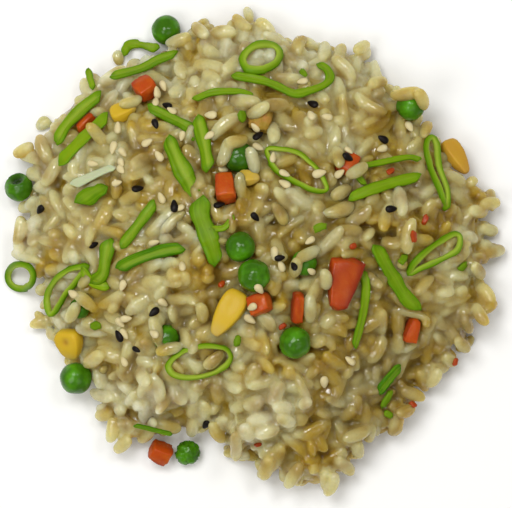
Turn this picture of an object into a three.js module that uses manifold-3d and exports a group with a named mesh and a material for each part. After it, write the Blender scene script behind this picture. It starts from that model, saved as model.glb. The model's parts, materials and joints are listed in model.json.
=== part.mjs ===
// A heap of fried rice with garden peas, sweetcorn, diced carrot, egg, sliced scallion and
// sesame seeds. Millimetres, +Z up, standing on its flat underside.

import * as THREE from 'three';
import { mergeVertices } from 'three/addons/utils/BufferGeometryUtils.js';
import Module from 'manifold-3d';

const wasm = await Module();
wasm.setup();

// ---------------------------------------------------------------- driving dimensions

const heap = {
  crown: 28, // height of the bare core in the middle
  rim: 6.5, // depth of rice just inside the edge
  domePower: 0.95, // above 1 is more pointed, below 1 is flatter on top
  rimSquareness: 9, // how upright the edge stands
  setback: 1.9, // the core stops this far short of the outermost grains
  unevenness: 0.8, // height of the small waves on the core
  waveLength: 11,
  waveSway: 1.2, // how far the waves are bent, as an angle
  swayShare: 0.65, // bends to one wave
  fineness: 14, // subdivisions of an octahedron's edge
};

const gap = 0.32; // air between two separate pieces
const wideGap = 1.3 * gap; // the same beside slanting faces
const clearance = 0.75; // scallion lies this far above the bare core, on the tips of its grains
const hair = 0.02; // faces closer than this are made one
const cornerGrids = [0.015, 0.02, 0.025, 0.01, 0.03]; // corners are moved to one of these grids
const randomStart = 15; // the same heap comes out each time

// How toppings rest: near the edge they lean on the rice a little further in, never too steeply.
const rest = { inward: 3.5, share: 0.92, steepest: 0.75 };

// A packed grain shows as a ridge on the core; a loose one is a whole grain fused on.
const ridge = {
  low: 0.8, // height of the flattest
  high: 1.7,
  ends: 0.2, // its top starts and stops this share inside its length
  inward: 0.1, // its top is drawn this share towards its middle
  shift: 0.7, // how far a corner of the core strays
  lowest: 0.2, // no ridge dips below this above the table
  besideTopping: 0.1,
  toppingRoom: 3,
};
const grain = {
  length: 8.6,
  width: 3.2,
  lengthSpread: 0.16,
  sides: 4,
  rings: 3,
  sunk: 0.05,
  blunt: 1.22, // the rings next to the tips are pushed out this much
  swell: 1.15, // so that few flat sides are as wide as a round grain
};
const scatter = {
  tries: 4000,
  spacing: 15,
  edgeInset: 3,
  halfReach: 0.35, // a grain touches the rice this share of its length from its middle
  steepest: 0.8,
  tilt: 0.25,
  toppingRoom: 2.3,
};
const rimRow = { count: 26, levels: [1.9, 5.4], inset: 1, turn: 2.4, tilt: 0.3, peakLevel: 3 };

const pitSides = 8; // of the hollow under a pea
const peaTurn = 37; // degrees that each pea is turned on from the one before
const kernel = { sides: 8, rings: 5, roundness: 0.6, root: 0.56, lowest: 0.4 };
const dicing = { lean: 0.1, shear: 0.12, lowest: 1.6 };
const leafEnd = 0.7; // width at the end of a scallion leaf, as a share of its width
const leafStep = { length: 3.6, least: 3 };
const loopStep = { length: 2.7, least: 9 };
const thinLeaf = 0.9; // thickness of a scallion leaf
const ringHeight = 1.3; // how far a slice of scallion stands up from the rice

const seed = { length: 3.2, width: 2.3, thickness: 1.7, raised: 0.13 };
const speck = { length: 3.2, width: 2.6, thickness: 2, raised: 0.1 };

// How far the rice reaches from the middle: [degrees from +X, reach].
const outline = [
  [0, 63], [6, 60], [13, 63], [24, 58], [31, 56], [37, 56], [46, 60.5], [51, 53.5], [57, 57],
  [62, 61], [68, 57], [82, 58], [92, 63], [97, 60], [103, 61.5], [112, 58], [122, 58.5],
  [129, 63], [137, 64.5], [142, 61], [149, 67.5], [153.5, 62.5], [157, 67], [165, 60.5],
  [173, 63], [180, 63], [185, 60], [191, 56.5], [198, 60], [206, 56.5], [219, 57], [226, 57],
  [235, 61.5], [242, 55.5], [251, 50], [259, 47], [265, 53.5], [268.5, 49.5], [272, 57],
  [277, 60.5], [281, 58.5], [287, 65], [293, 62], [298, 57], [308, 59.5], [315, 56.5],
  [329, 58], [338, 60.5], [347, 63], [352.5, 57.5],
];

// Clumps and hollows of the surface: [x, y, radius, rise].
const clumps = [
  [1.5, -40, 8, 3.2], [-15, 45, 9, 1.6], [14, 33, 8, 1.8], [34, 37, 6, 1.8], [38, 12, 8, 1.6],
  [-46, 25, 9, 1.5], [-48, 3, 8, 1.3], [-33, -33, 9, 1.6], [-20, -6, 8, 1.4], [28, -35, 7, 1.4],
  [48, -14, 7, 1.8], [17, -27, 7, 1.5], [14, -50, 8, 2.6], [52, 4, 7, 1.6], [-33, 22, 7, 1.6],
  [-4.5, 26.5, 4, -3.2], [-29, 17, 4, -1.8], [8.5, 21, 5, -1.8], [22, 12, 5, -2], [7.5, 7, 6, -3],
  [-9, -10, 4.5, -1.8], [30, -30, 6, -3], [20, -40, 5, -2.6], [11, -45, 4, -2.4],
  [34.5, 30.5, 4, -2.6], [-39, -22, 5, -1.6], [30, -19, 5, -1.8], [36, -5, 6, -1.4],
];

// ---------------------------------------------------------------- places of the toppings

// Peas: [x, y, radius, share of the height that is sunk, squash].
const peas = [
  [-22.5, 56, 3.7, 0.3, 1], [-59.5, 16.5, 3.6, 0, 0.92], [38.5, 36.5, 3.6, 0.35, 1],
  [-3.8, 1.5, 3.7, 0.4, 1], [-0.5, -5.5, 4, 0.35, 1], [9.5, -22, 4, 0.35, 1],
  [-45, -31.3, 4, 0.3, 1], [-17.2, -50.2, 3.3, 0.2, 0.85], [-22.2, -20.8, 3.3, 0.5, 1],
  [11.7, -2.5, 3.2, 0.55, 1], [-4.2, 23.6, 3.9, 0.45, 0.9], [-43.7, -13.7, 2.6, 0.55, 1],
];

// Corn kernels: [x, y, degrees of the root-to-crown line, length, width, depth, sunk].
const cornKernels = [
  [-32.8, 35.4, 200, 6.6, 5.2, 4.4, 0.5], [50.4, 24, 118, 10, 5.7, 4.6, 0.45],
  [-7.4, -15, 58, 12.6, 7.8, 5.2, 0.35], [-46.2, -22.9, 95, 8, 8.2, 5, 0.35],
  [-1.7, 18.3, 175, 5.4, 4.2, 3.6, 0.5],
];

// Diced pieces: [name, x, y, degrees, length, width, depth, taper, sunk].
const dice = [
  ['carrot_01', -27.5, 41, 38, 5, 5, 4.4, 0.9, 0.4],
  ['carrot_02', -42, 32.1, 46, 5.2, 1.8, 4, 0.9, 0.55],
  ['carrot_03', -7.7, 16, 96, 6.6, 5, 5.2, 0.85, 0.35],
  ['carrot_04', 1, -12.3, 18, 5.2, 5, 4.4, 0.9, 0.4],
  ['carrot_05', 10.2, -13.4, 88, 7.2, 2.8, 4, 0.9, 0.5],
  ['carrot_06', 20.2, -7.8, 258, 12, 8.8, 4.8, 0.5, 0.35],
  ['carrot_07', 22.7, 22, 60, 5.2, 4.6, 4, 0.9, 0.5],
  ['carrot_08', 39, -19, 75, 6, 3.8, 3.8, 0.6, 0.45],
  ['carrot_09', -24.2, -49.9, 150, 5.2, 4.8, 4.6, 0.8, 0.15],
  ['egg_01', 1.5, 33, 70, 5.6, 5, 4, 0.8, 0.5],
];

// Scallion leaves, laid along a line: { width, points }.
const leaves = {
  scallion_01: { width: 2, at: [[-33.5, 50], [-32, 52.3], [-29, 52.6], [-24.6, 51.2]] },
  scallion_02: { width: 2.3, at: [[-36.2, 44.3], [-29, 46.2], [-24.2, 48.6], [-19.8, 50]] },
  scallion_03: { width: 2, at: [[-42.2, 46.2], [-41.4, 43.4], [-40.6, 41]] },
  scallion_04: { width: 3, at: [[-38.6, 39.8], [-43.6, 36], [-47.6, 31.6], [-49.8, 27.4]] },
  scallion_05: { width: 3.2, at: [[-36.8, 34.4], [-43, 28.6], [-49, 22.4]] },
  scallion_07: { width: 1.7, at: [[-5.8, 44.2], [2, 42.7], [6, 41.1], [9.5, 39.6], [12.8, 40.2],
    [16.6, 41.6], [18.4, 43.6], [17.6, 46], [15.4, 47.2]] },
  scallion_08: { width: 1.5, at: [[-15.6, 38], [-10.5, 39.8], [-4.2, 40], [-0.4, 38.8]] },
  scallion_09: { width: 2.2, at: [[-26.8, 36.4], [-21.6, 33.8], [-16.8, 31.2]] },
  scallion_10: { width: 2.8, at: [[-14.6, 33.8], [-13, 28.2], [-11.5, 20.4]] },
  scallion_11: { width: 3.4, at: [[-21.8, 28.6], [-19.4, 23], [-16.6, 17.6]] },
  scallion_12: { width: 4.4, at: [[-13.8, 13.6], [-13.6, 9.2], [-11.2, 3], [-9.4, -2.6]] },
  scallion_13: { width: 2.5, at: [[-24.8, 12.6], [-27.2, 9.4], [-30, 5.8], [-33.4, 1.6]] },
  scallion_14: { width: 2.4, at: [[-17.8, 1.4], [-23.5, 0.4], [-29.8, -1.8], [-34, -4]] },
  scallion_15: { width: 3, at: [[-36.4, 3.4], [-37.2, -1.2], [-38, -5.2], [-40.6, -7.6]] },
  scallion_20: { width: 4.2, at: [[-44, 12.2], [-40.6, 14.6], [-37, 16.6]] },
  scallion_21: { width: 2.5, at: [[-45.6, 16.8], [-40.4, 19.2], [-35, 21.4]] },
  scallion_23: { width: 1.3, at: [[41, 23.2], [37.8, 23.9], [31.5, 22.6], [25.6, 21.2], [25.4, 19],
    [27, 16.9]] },
  scallion_24: { width: 2.3, at: [[22.8, 13.4], [27.5, 15.4], [32.8, 17.2], [40.8, 19.2]] },
  scallion_27: { width: 3.2, at: [[29.6, 2], [31.8, -2.4], [34.2, -6.4], [36.8, -10.6], [40, -14.2]] },
  scallion_28: { width: 2, at: [[26, -4.2], [27, -7.8], [26.8, -13], [26, -17.6], [24.4, -23.3]] },
  scallion_30: { width: 1.5, at: [[-30.4, -43], [-25, -44.4], [-21, -45.4]] },
  scallion_31: { width: 2.9, at: [[36, -28.3], [33.2, -31.4], [30.6, -34.6]] },
};

// Scallion rings and flattened loops: { strand, points round the loop }.
const loops = {
  scallion_06: { strand: 1.6, at: ovalRing(1.4, 48.9, 4.9, 3.3, 18, 10) },
  scallion_16: { strand: 1.1, at: [[-42.2, -3.6], [-47.2, -4.6], [-50.8, -7.6], [-52.6, -11.8],
    [-51.6, -15.4], [-49.8, -13.8], [-47.8, -10.4], [-45.2, -7.6]] },
  scallion_17: { strand: 1.7, at: ovalRing(-59.2, -6, 3.3, 3, 0, 9) },
  scallion_22: { strand: 1, at: [[2.4, 25.3], [6, 25.7], [10.4, 24.5], [13.4, 22.2], [16, 19.4],
    [17.4, 15.6], [14.2, 15.6], [11.4, 16.8], [8.2, 18.6], [5, 20.6]] },
  scallion_25: { strand: 1.2, at: [[44, 29.2], [42.7, 26.6], [43.6, 21.6], [46, 15.6],
    [47.4, 11.4], [47.8, 15.8], [45.8, 22], [45.5, 27.2]] },
  scallion_26: { strand: 1.2, at: [[38, -5.2], [41.4, -3.6], [46.4, -1.4], [50.2, 0.6], [51, 4],
    [49.2, 4.8], [46, 3], [42.6, 0.6], [40, -1.8]] },
  scallion_29: { strand: 1.3, at: ovalRing(-14, -27, 7.9, 3.9, 12, 12) },
};

// Sesame seeds, pale then black: [x, y].
const paleSeeds = [
  [-23, 41.5], [-24.5, 39.7], [-20.7, 35.2], [-34.2, 31], [-18.2, 28.7], [-26.7, 27.2],
  [-35.2, 26], [-32.7, 24.7], [-23.7, 23.7], [-34.2, 17.2], [-9.6, 34.4], [11.5, 42.8],
  [13.5, 33.7], [17.5, 33.5], [-0.2, 30], [4.2, 23.2], [7, 20.2], [38.2, 31.5], [31.2, 25.7],
  [20.5, 19.5], [-25, 3], [-18, -3.2], [-23.2, 14], [-18.7, 10], [-2, -17.6], [6.2, -4.6],
  [15, -3.4], [13.2, 3], [-32.7, -8.4], [-45.2, -10.6], [-32, -16.2], [-32.5, -20], [-25, -19],
  [-32.5, -26.7], [16.7, -31.7], [22.6, -27.4],
];
const blackSeeds = [
  [-22, 36.5], [-24.7, 31.7], [-29, 15.7], [14, 36.7], [0.5, 28.4], [31.5, 28.2], [-20.4, 11.5],
  [-8.4, 10.8], [-0.2, 8.7], [-25, -14.5], [5.7, -1.2], [-53.7, 10.7], [-41, 2.4], [33.2, 10.7],
  [-33.7, -20.5], [-29.5, -23.7], [-12.5, -42.7],
];

// Scraps of carrot, egg and leaf too small to stand alone: [x, y].
const specks = [
  [33.2, 20.2], [38.7, 4], [41.7, 8.2], [23.7, 1.7], [-8.4, -7.6], [15.5, 6.2], [-3.4, 33.6],
  [11.7, 44.6], [36.2, -1.6], [51.4, -3.4], [33, -40.2], [-4.6, -21.6], [-39.7, -18],
];

// ---------------------------------------------------------------- small helpers

const up = new THREE.Vector3(0, 0, 1);

// A repeatable random number between 0 and 1.
function seededRandom(state) {
  return () => {
    state = (state + 0x6d2b79f5) | 0;
    let bits = Math.imul(state ^ (state >>> 15), 1 | state);
    bits = (bits + Math.imul(bits ^ (bits >>> 7), 61 | bits)) ^ bits;
    return ((bits ^ (bits >>> 14)) >>> 0) / 4294967296;
  };
}

function ovalRing(x, y, halfLength, halfWidth, degrees, count) {
  const turn = THREE.MathUtils.degToRad(degrees);
  return Array.from({ length: count }, (_, i) => {
    const angle = (i / count) * 2 * Math.PI;
    const along = halfLength * Math.cos(angle);
    const across = halfWidth * Math.sin(angle);
    return [
      x + along * Math.cos(turn) - across * Math.sin(turn),
      y + along * Math.sin(turn) + across * Math.cos(turn),
    ];
  });
}

// ---------------------------------------------------------------- the bare core's surface

// Reach of the rice in one direction, eased from one outline point to the next.
function reachAt(angle) {
  const degrees = ((angle * 180) / Math.PI + 360) % 360;
  const next = outline.findIndex(([mark]) => mark > degrees);
  const [toMark, toReach] = next === -1 ? [360, outline[0][1]] : outline[next];
  const [fromMark, fromReach] = outline.at(next === -1 ? -1 : next - 1);
  const share = THREE.MathUtils.smoothstep(degrees, fromMark, toMark);
  return THREE.MathUtils.lerp(fromReach, toReach, share);
}

function waves(x, y) {
  const k = (2 * Math.PI) / heap.waveLength;
  const sway = (along) => heap.waveSway * Math.sin(heap.swayShare * k * along);
  return Math.sin(k * x + sway(y)) * Math.cos(k * y + sway(x));
}

function coreHeight(x, y) {
  const ratio = Math.hypot(x, y) / (reachAt(Math.atan2(y, x)) - heap.setback);
  if (ratio >= 1) return 0;
  const dome = (heap.crown - heap.rim) * (1 - ratio ** 2) ** heap.domePower;
  const shoulder = Math.sqrt(1 - ratio ** heap.rimSquareness);
  let relief = heap.unevenness * waves(x, y);
  for (const [cx, cy, radius, rise] of clumps) {
    relief += rise * Math.exp(-((x - cx) ** 2 + (y - cy) ** 2) / radius ** 2);
  }
  return dome + (heap.rim + relief) * shoulder;
}

// Height that a piece rests on: near the edge it leans on the rice just inside it.
function restHeight(x, y) {
  const distance = Math.hypot(x, y);
  const inward = Math.max(0, 1 - rest.inward / distance);
  return Math.max(coreHeight(x, y), rest.share * coreHeight(x * inward, y * inward));
}

function surfaceNormal(x, y, reach = 2.5) {
  const slopeX = (restHeight(x + reach, y) - restHeight(x - reach, y)) / (2 * reach);
  const slopeY = (restHeight(x, y + reach) - restHeight(x, y - reach)) / (2 * reach);
  const slope = Math.hypot(slopeX, slopeY);
  const ease = slope > rest.steepest ? rest.steepest / slope : 1;
  return new THREE.Vector3(-slopeX * ease, -slopeY * ease, 1).normalize();
}

// ---------------------------------------------------------------- closed solids

function solidFrom(geometry) {
  const bare = new THREE.BufferGeometry();
  bare.setAttribute('position', geometry.getAttribute('position'));
  bare.setIndex(geometry.getIndex());
  const merged = mergeVertices(bare, 1e-5);
  const mesh = new wasm.Mesh({
    numProp: 3,
    vertProperties: new Float32Array(merged.getAttribute('position').array),
    triVerts: new Uint32Array(merged.getIndex().array),
  });
  return new wasm.Manifold(mesh);
}

function geometryFrom(solid) {
  const mesh = solid.getMesh();
  const geometry = new THREE.BufferGeometry();
  geometry.setAttribute('position', new THREE.BufferAttribute(mesh.vertProperties, 3));
  geometry.setIndex(new THREE.BufferAttribute(mesh.triVerts, 1));
  geometry.computeVertexNormals();
  return geometry;
}

function cornersOf(geometry) {
  const position = geometry.getAttribute('position');
  const cornerAt = (i) => new THREE.Vector3().fromBufferAttribute(position, i);
  return Array.from({ length: position.count }, (_, i) => cornerAt(i));
}

function moveVertices(geometry, change) {
  const position = geometry.getAttribute('position');
  const point = new THREE.Vector3();
  for (let i = 0; i < position.count; i += 1) {
    point.fromBufferAttribute(position, i);
    change(point);
    position.setXYZ(i, point.x, point.y, point.z);
  }
  return geometry;
}

// Turns a piece by degrees about Z, leans it with the surface and moves it to its place.
function laid(geometry, x, y, z, degrees, normal = up) {
  const lean = new THREE.Quaternion().setFromUnitVectors(up, normal);
  const turn = new THREE.Quaternion().setFromAxisAngle(up, THREE.MathUtils.degToRad(degrees));
  const place = new THREE.Matrix4().compose(
    new THREE.Vector3(x, y, z),
    lean.multiply(turn),
    new THREE.Vector3(1, 1, 1),
  );
  return geometry.applyMatrix4(place);
}

// ---------------------------------------------------------------- toppings

function peaPlace([x, y, radius, sunk], index, geometry) {
  const z = Math.max(radius, restHeight(x, y) + radius * (1 - 2 * sunk));
  return laid(geometry, x, y, z, peaTurn * index, surfaceNormal(x, y));
}

function pea(one, index) {
  const [, , radius, , squash] = one;
  return peaPlace(one, index, new THREE.IcosahedronGeometry(radius, 1).scale(1, 1, squash));
}

// The hollow that a pea sits in: a pit with a few flat sides.
function peaRoom(one, index) {
  const reach = one[2] + gap;
  const corner = reach / Math.cos(Math.PI / pitSides);
  const pit = new THREE.CylinderGeometry(corner, corner, 2 * reach, pitSides);
  return peaPlace(one, index, pit.rotateX(Math.PI / 2));
}

function kernelPlace([x, y, degrees, , , depth, sunk], geometry) {
  const z = Math.max(depth / 2 + kernel.lowest, restHeight(x, y) + depth * (0.5 - sunk));
  return laid(geometry, x, y, z, degrees, surfaceNormal(x, y, 4));
}

// Blunt at the crown, narrow at the root.
function cornKernel(one) {
  const [, , , length, width, depth] = one;
  const geometry = new THREE.SphereGeometry(1, kernel.sides, kernel.rings);
  geometry.rotateZ(Math.PI / 2).rotateX(Math.PI / kernel.sides);
  moveVertices(geometry, (p) => {
    const side = Math.hypot(p.y, p.z);
    const blunt = side === 0 ? 0 : side ** kernel.roundness / side;
    const girth = blunt * THREE.MathUtils.lerp(kernel.root, 1, (1 + p.x) / 2);
    p.set((p.x * length) / 2, (p.y * girth * width) / 2, (p.z * girth * depth) / 2);
  });
  return kernelPlace(one, geometry);
}

function kernelRoom(one) {
  const [, , , length, width, depth] = one;
  const room = new THREE.BoxGeometry(length + 2 * gap, width + 2 * gap, depth + 2 * gap);
  return kernelPlace(one, room);
}

function diced([, x, y, degrees, length, width, depth, taper, sunk], index, swell) {
  const geometry = new THREE.BoxGeometry(length, width, depth);
  moveVertices(geometry, (p) => {
    const outward = p.clone().set(Math.sign(p.x), Math.sign(p.y), Math.sign(p.z));
    p.y *= p.x > 0 ? taper : 1;
    p.x += dicing.lean * p.z * (index % 2 ? 1 : -1);
    p.y += dicing.shear * p.z;
    p.addScaledVector(outward, swell);
  });
  const z = Math.max(depth / 2 + dicing.lowest, restHeight(x, y) + depth * (0.5 - sunk));
  return laid(geometry, x, y, z, degrees, surfaceNormal(x, y, 4));
}

// A line over the rice, at the height where a piece can lie on it.
function lineOverRice(points, height, closed) {
  const places = points.map(([x, y]) => new THREE.Vector3(x, y, restHeight(x, y) + height));
  return new THREE.CatmullRomCurve3(places, closed, 'centripetal');
}

// A strip of constant section along a line, lying with the surface. Both faces are split alike.
function strip(points, closed, width, thickness, swell) {
  const line = lineOverRice(points, clearance + thickness / 2, closed);
  const step = closed ? loopStep : leafStep;
  const steps = Math.max(step.least, Math.round(line.getLength() / step.length));
  const stations = closed ? steps : steps + 1;
  const positions = [];
  for (let i = 0; i < stations; i += 1) {
    const share = i / steps;
    const middle = line.getPointAt(share);
    const tangent = line.getTangentAt(share);
    const normal = surfaceNormal(middle.x, middle.y);
    const across = new THREE.Vector3().crossVectors(normal, tangent).normalize();
    const upward = new THREE.Vector3().crossVectors(tangent, across).normalize();
    const atEnd = !closed && (i === 0 || i === steps);
    const narrow = atEnd ? leafEnd : 1;
    const beyond = atEnd ? tangent.multiplyScalar(i === 0 ? -swell : swell) : tangent.set(0, 0, 0);
    for (const [side, level] of [[-1, -1], [1, -1], [1, 1], [-1, 1]]) {
      const corner = middle.clone().add(beyond);
      corner.addScaledVector(across, side * (narrow * width * 0.5 + swell));
      corner.addScaledVector(upward, level * (thickness * 0.5 + swell));
      positions.push(...corner);
    }
  }
  return loftSections(positions, stations, closed);
}

// Joins sections of four corners each into one closed skin.
function loftSections(positions, stations, closed) {
  const indices = [];
  const spans = closed ? stations : stations - 1;
  for (let i = 0; i < spans; i += 1) {
    const here = 4 * i;
    const there = 4 * ((i + 1) % stations);
    for (let corner = 0; corner < 4; corner += 1) {
      const next = (corner + 1) % 4;
      const a = here + corner;
      const b = here + next;
      const c = there + next;
      const d = there + corner;
      indices.push(...(corner === 2 ? [a, b, d, b, c, d] : [a, b, c, a, c, d]));
    }
  }
  if (!closed) {
    const last = 4 * (stations - 1);
    indices.push(0, 2, 1, 0, 3, 2, last, last + 1, last + 2, last, last + 2, last + 3);
  }
  const geometry = new THREE.BufferGeometry();
  geometry.setAttribute('position', new THREE.Float32BufferAttribute(positions, 3));
  geometry.setIndex(indices);
  return geometry;
}

function leaf({ width, at }, swell) {
  return strip(at, false, width, thinLeaf, swell);
}

function loop({ strand, at }, swell) {
  return strip(at, true, strand, ringHeight, swell);
}

const finish = {
  rice: { color: 0xd8c9a0, roughness: 0.4, metalness: 0 },
  pea: { color: 0x3f8a1c, roughness: 0.3, metalness: 0 },
  corn: { color: 0xe6b41e, roughness: 0.35, metalness: 0 },
  carrot: { color: 0xd9501e, roughness: 0.35, metalness: 0 },
  egg: { color: 0xcfa658, roughness: 0.5, metalness: 0 },
  scallion: { color: 0x7fb32c, roughness: 0.35, metalness: 0 },
};

function numbered(word, index) {
  return `${word}_${String(index + 1).padStart(2, '0')}`;
}

// Every topping: its name, its finish, how it is made, and the room that the rice leaves it.
const toppings = [
  ...peas.map((one, i) => ({
    name: numbered('pea', i),
    look: 'pea',
    make: () => pea(one, i),
    makeRoom: () => peaRoom(one, i),
  })),
  ...cornKernels.map((one, i) => ({
    name: numbered('corn', i),
    look: 'corn',
    make: () => cornKernel(one),
    makeRoom: () => kernelRoom(one),
  })),
  ...dice.map((one, i) => ({
    name: one[0],
    look: one[0].split('_')[0],
    make: () => diced(one, i, 0),
    makeRoom: () => diced(one, i, wideGap),
  })),
  ...Object.entries(leaves).map(([name, one]) => ({
    name,
    look: 'scallion',
    make: () => leaf(one, 0),
    makeRoom: () => leaf(one, wideGap),
  })),
  ...Object.entries(loops).map(([name, one]) => ({
    name,
    look: 'scallion',
    make: () => loop(one, 0),
    makeRoom: () => loop(one, wideGap),
  })),
].sort((first, second) => first.name.localeCompare(second.name));

// ---------------------------------------------------------------- the rice

// The bare core is an octahedron pressed into the heap's form: its upper half is the surface.
function coreGeometry() {
  const octahedron = new THREE.OctahedronGeometry(1, heap.fineness);
  moveVertices(octahedron, (p) => {
    const share = Math.acos(Math.min(1, Math.abs(p.z))) / (Math.PI / 2);
    const angle = Math.atan2(p.y, p.x);
    const reach = share * (reachAt(angle) - heap.setback);
    const x = reach * Math.cos(angle);
    const y = reach * Math.sin(angle);
    const isSurface = p.z > 1e-6 && share < 0.9999;
    p.set(x, y, isSurface ? coreHeight(x, y) : 0);
  });
  octahedron.deleteAttribute('normal');
  octahedron.deleteAttribute('uv');
  return mergeVertices(octahedron, 1e-3);
}

// Pairs faces that share an edge, in a random order. A face left over stays alone.
function pairedFaces(faces, random) {
  const edgesOf = ([a, b, c]) => [[a, b], [b, c], [c, a]];
  const owner = new Map();
  faces.forEach((face, i) => edgesOf(face).forEach((edge) => owner.set(edge.join(), i)));
  const order = faces.map((_, i) => [random(), i]).sort(([first], [second]) => first - second);
  const free = new Set(faces.keys());
  const pairs = [];
  for (const [, i] of order) {
    if (!free.delete(i)) continue;
    const shared = edgesOf(faces[i]).filter(([a, b]) => free.has(owner.get([b, a].join())));
    const edge = shared[Math.floor(random() * shared.length)];
    const partner = edge && owner.get([edge[1], edge[0]].join());
    free.delete(partner);
    pairs.push({ face: faces[i], partner: faces[partner], edge });
  }
  return pairs;
}

// The core with a ridge the size of a grain on each pair of faces.
function packedRice(random) {
  const core = coreGeometry();
  const index = core.getIndex().array;
  const corners = cornersOf(core);
  const isSurface = (face) => face.some((corner) => corners[corner].z > 0);
  const faces = Array.from({ length: index.length / 3 }, (_, i) => [...index.slice(3 * i, 3 * i + 3)]);
  const indices = faces.filter((face) => !isSurface(face)).flat();
  const occupied = toppingCorners();
  for (const corner of corners) {
    if (corner.z === 0) continue;
    corner.x += ridge.shift * (2 * random() - 1);
    corner.y += ridge.shift * (2 * random() - 1);
  }
  for (const { face, partner, edge } of pairedFaces(faces.filter(isSurface), random)) {
    if (!partner) {
      indices.push(...face);
      continue;
    }
    const [a, b] = edge;
    const c = face.find((corner) => corner !== a && corner !== b);
    const d = partner.find((corner) => corner !== a && corner !== b);
    const middle = corners[a].clone().add(corners[b]).multiplyScalar(0.5);
    const outward = new THREE.Vector3().crossVectors(
      corners[b].clone().sub(corners[a]),
      corners[c].clone().sub(corners[d]),
    ).normalize();
    const isNear = ([x, y]) => Math.hypot(x - middle.x, y - middle.y) < ridge.toppingRoom;
    const fullHeight = THREE.MathUtils.lerp(ridge.low, ridge.high, random());
    const height = occupied.some(isNear) ? ridge.besideTopping : fullHeight;
    const [p, q] = [ridge.ends, 1 - ridge.ends].map((share) => {
      const end = corners[c].clone().lerp(corners[d], share).lerp(middle, ridge.inward);
      end.addScaledVector(outward, height);
      end.z = Math.max(end.z, ridge.lowest);
      return corners.push(end) - 1;
    });
    indices.push(a, d, q, d, b, q, b, c, p, c, a, p, a, q, p, b, p, q);
  }
  const skin = new THREE.BufferGeometry().setFromPoints(corners);
  skin.setIndex(indices);
  return skin;
}

// A blunt-ended grain along +X.
function grainGeometry(length, width) {
  const geometry = new THREE.SphereGeometry(0.5, grain.sides, grain.rings);
  geometry.rotateZ(-Math.PI / 2);
  return moveVertices(geometry, (p) => {
    const isTip = Math.abs(p.x) > 0.4;
    const blunt = isTip ? 1 : grain.blunt;
    p.set(p.x * length * blunt, p.y * width * grain.swell, p.z * width * grain.swell);
  });
}

function placedGrain(x, y, z, yaw, pitch, length, width) {
  return grainGeometry(length, width).rotateY(-pitch).rotateZ(yaw).translate(x, y, z);
}

// The toppings' own corners, seen from above, with the places half-way between neighbours.
function toppingCorners() {
  return toppings.flatMap(({ make }) => {
    const corners = cornersOf(make()).map(({ x, y }) => [x, y]);
    const halfway = corners.slice(4).map(([x, y], i) => {
      const [otherX, otherY] = corners[i];
      return [(x + otherX) / 2, (y + otherY) / 2];
    });
    return [...corners, ...halfway];
  });
}

// Lifts what would reach below the table.
function aboveTable(geometry) {
  geometry.computeBoundingBox();
  return geometry.translate(0, 0, Math.max(0, -geometry.boundingBox.min.z));
}

// Grains lying on the dome, spread evenly, leaning with the slope.
function surfaceGrains(random) {
  const corners = toppingCorners();
  const taken = [];
  const grains = [];
  for (let i = 0; i < scatter.tries; i += 1) {
    const angle = 2 * Math.PI * random();
    const reach = reachAt(angle) - scatter.edgeInset;
    const distance = reach * Math.sqrt(random());
    const x = distance * Math.cos(angle);
    const y = distance * Math.sin(angle);
    const near = ([px, py], room) => Math.hypot(px - x, py - y) < room;
    if (taken.some((place) => near(place, scatter.spacing))) continue;
    const yaw = 2 * Math.PI * random();
    const length = grain.length * (1 + grain.lengthSpread * (2 * random() - 1));
    const ahead = scatter.halfReach * length;
    const touches = ([px, py]) => {
      const along = (px - x) * Math.cos(yaw) + (py - y) * Math.sin(yaw);
      const across = (py - y) * Math.cos(yaw) - (px - x) * Math.sin(yaw);
      return Math.hypot(Math.max(0, Math.abs(along) - ahead), across) < scatter.toppingRoom;
    };
    if (corners.some(touches)) continue;
    taken.push([x, y]);
    const rise = restHeight(x + ahead * Math.cos(yaw), y + ahead * Math.sin(yaw))
      - restHeight(x - ahead * Math.cos(yaw), y - ahead * Math.sin(yaw));
    const slope = Math.atan2(rise, 2 * ahead);
    const pitch = THREE.MathUtils.clamp(slope, -scatter.steepest, scatter.steepest)
      + scatter.tilt * (2 * random() - 1);
    const z = restHeight(x, y) + grain.width * (0.5 - grain.sunk);
    grains.push(aboveTable(placedGrain(x, y, z, yaw, pitch, length, grain.width)));
  }
  return grains;
}

// A grain at the edge whose outer end reaches the outline.
function edgeGrain(angle, turn, reach, level, pitch) {
  const halfLength = Math.abs(Math.cos(turn)) * grain.length * 0.5;
  const halfWidth = Math.abs(Math.sin(turn)) * grain.width * 0.5;
  const distance = reach - Math.max(halfLength, halfWidth);
  const x = distance * Math.cos(angle);
  const y = distance * Math.sin(angle);
  return aboveTable(placedGrain(x, y, level, angle + turn, pitch, grain.length, grain.width));
}

// Rows of grains round the edge, and one on each point of the outline that stands out.
function rimGrains(random) {
  const grains = [];
  for (const [row, level] of rimRow.levels.entries()) {
    for (let i = 0; i < rimRow.count; i += 1) {
      const angle = ((i + 0.5 * row + 0.5 * random()) / rimRow.count) * 2 * Math.PI;
      const reach = reachAt(angle) - rimRow.inset * row;
      const turn = (random() - 0.5) * rimRow.turn;
      const tilt = rimRow.tilt * row * random();
      grains.push(edgeGrain(angle, turn, reach, level, tilt));
    }
  }
  outline.forEach(([mark, reach], i) => {
    const standsOut = reach > outline.at(i - 1)[1] && reach > outline[(i + 1) % outline.length][1];
    const angle = THREE.MathUtils.degToRad(mark);
    if (standsOut) grains.push(edgeGrain(angle, 0, reach, rimRow.peakLevel, 0));
  });
  return grains;
}

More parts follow.
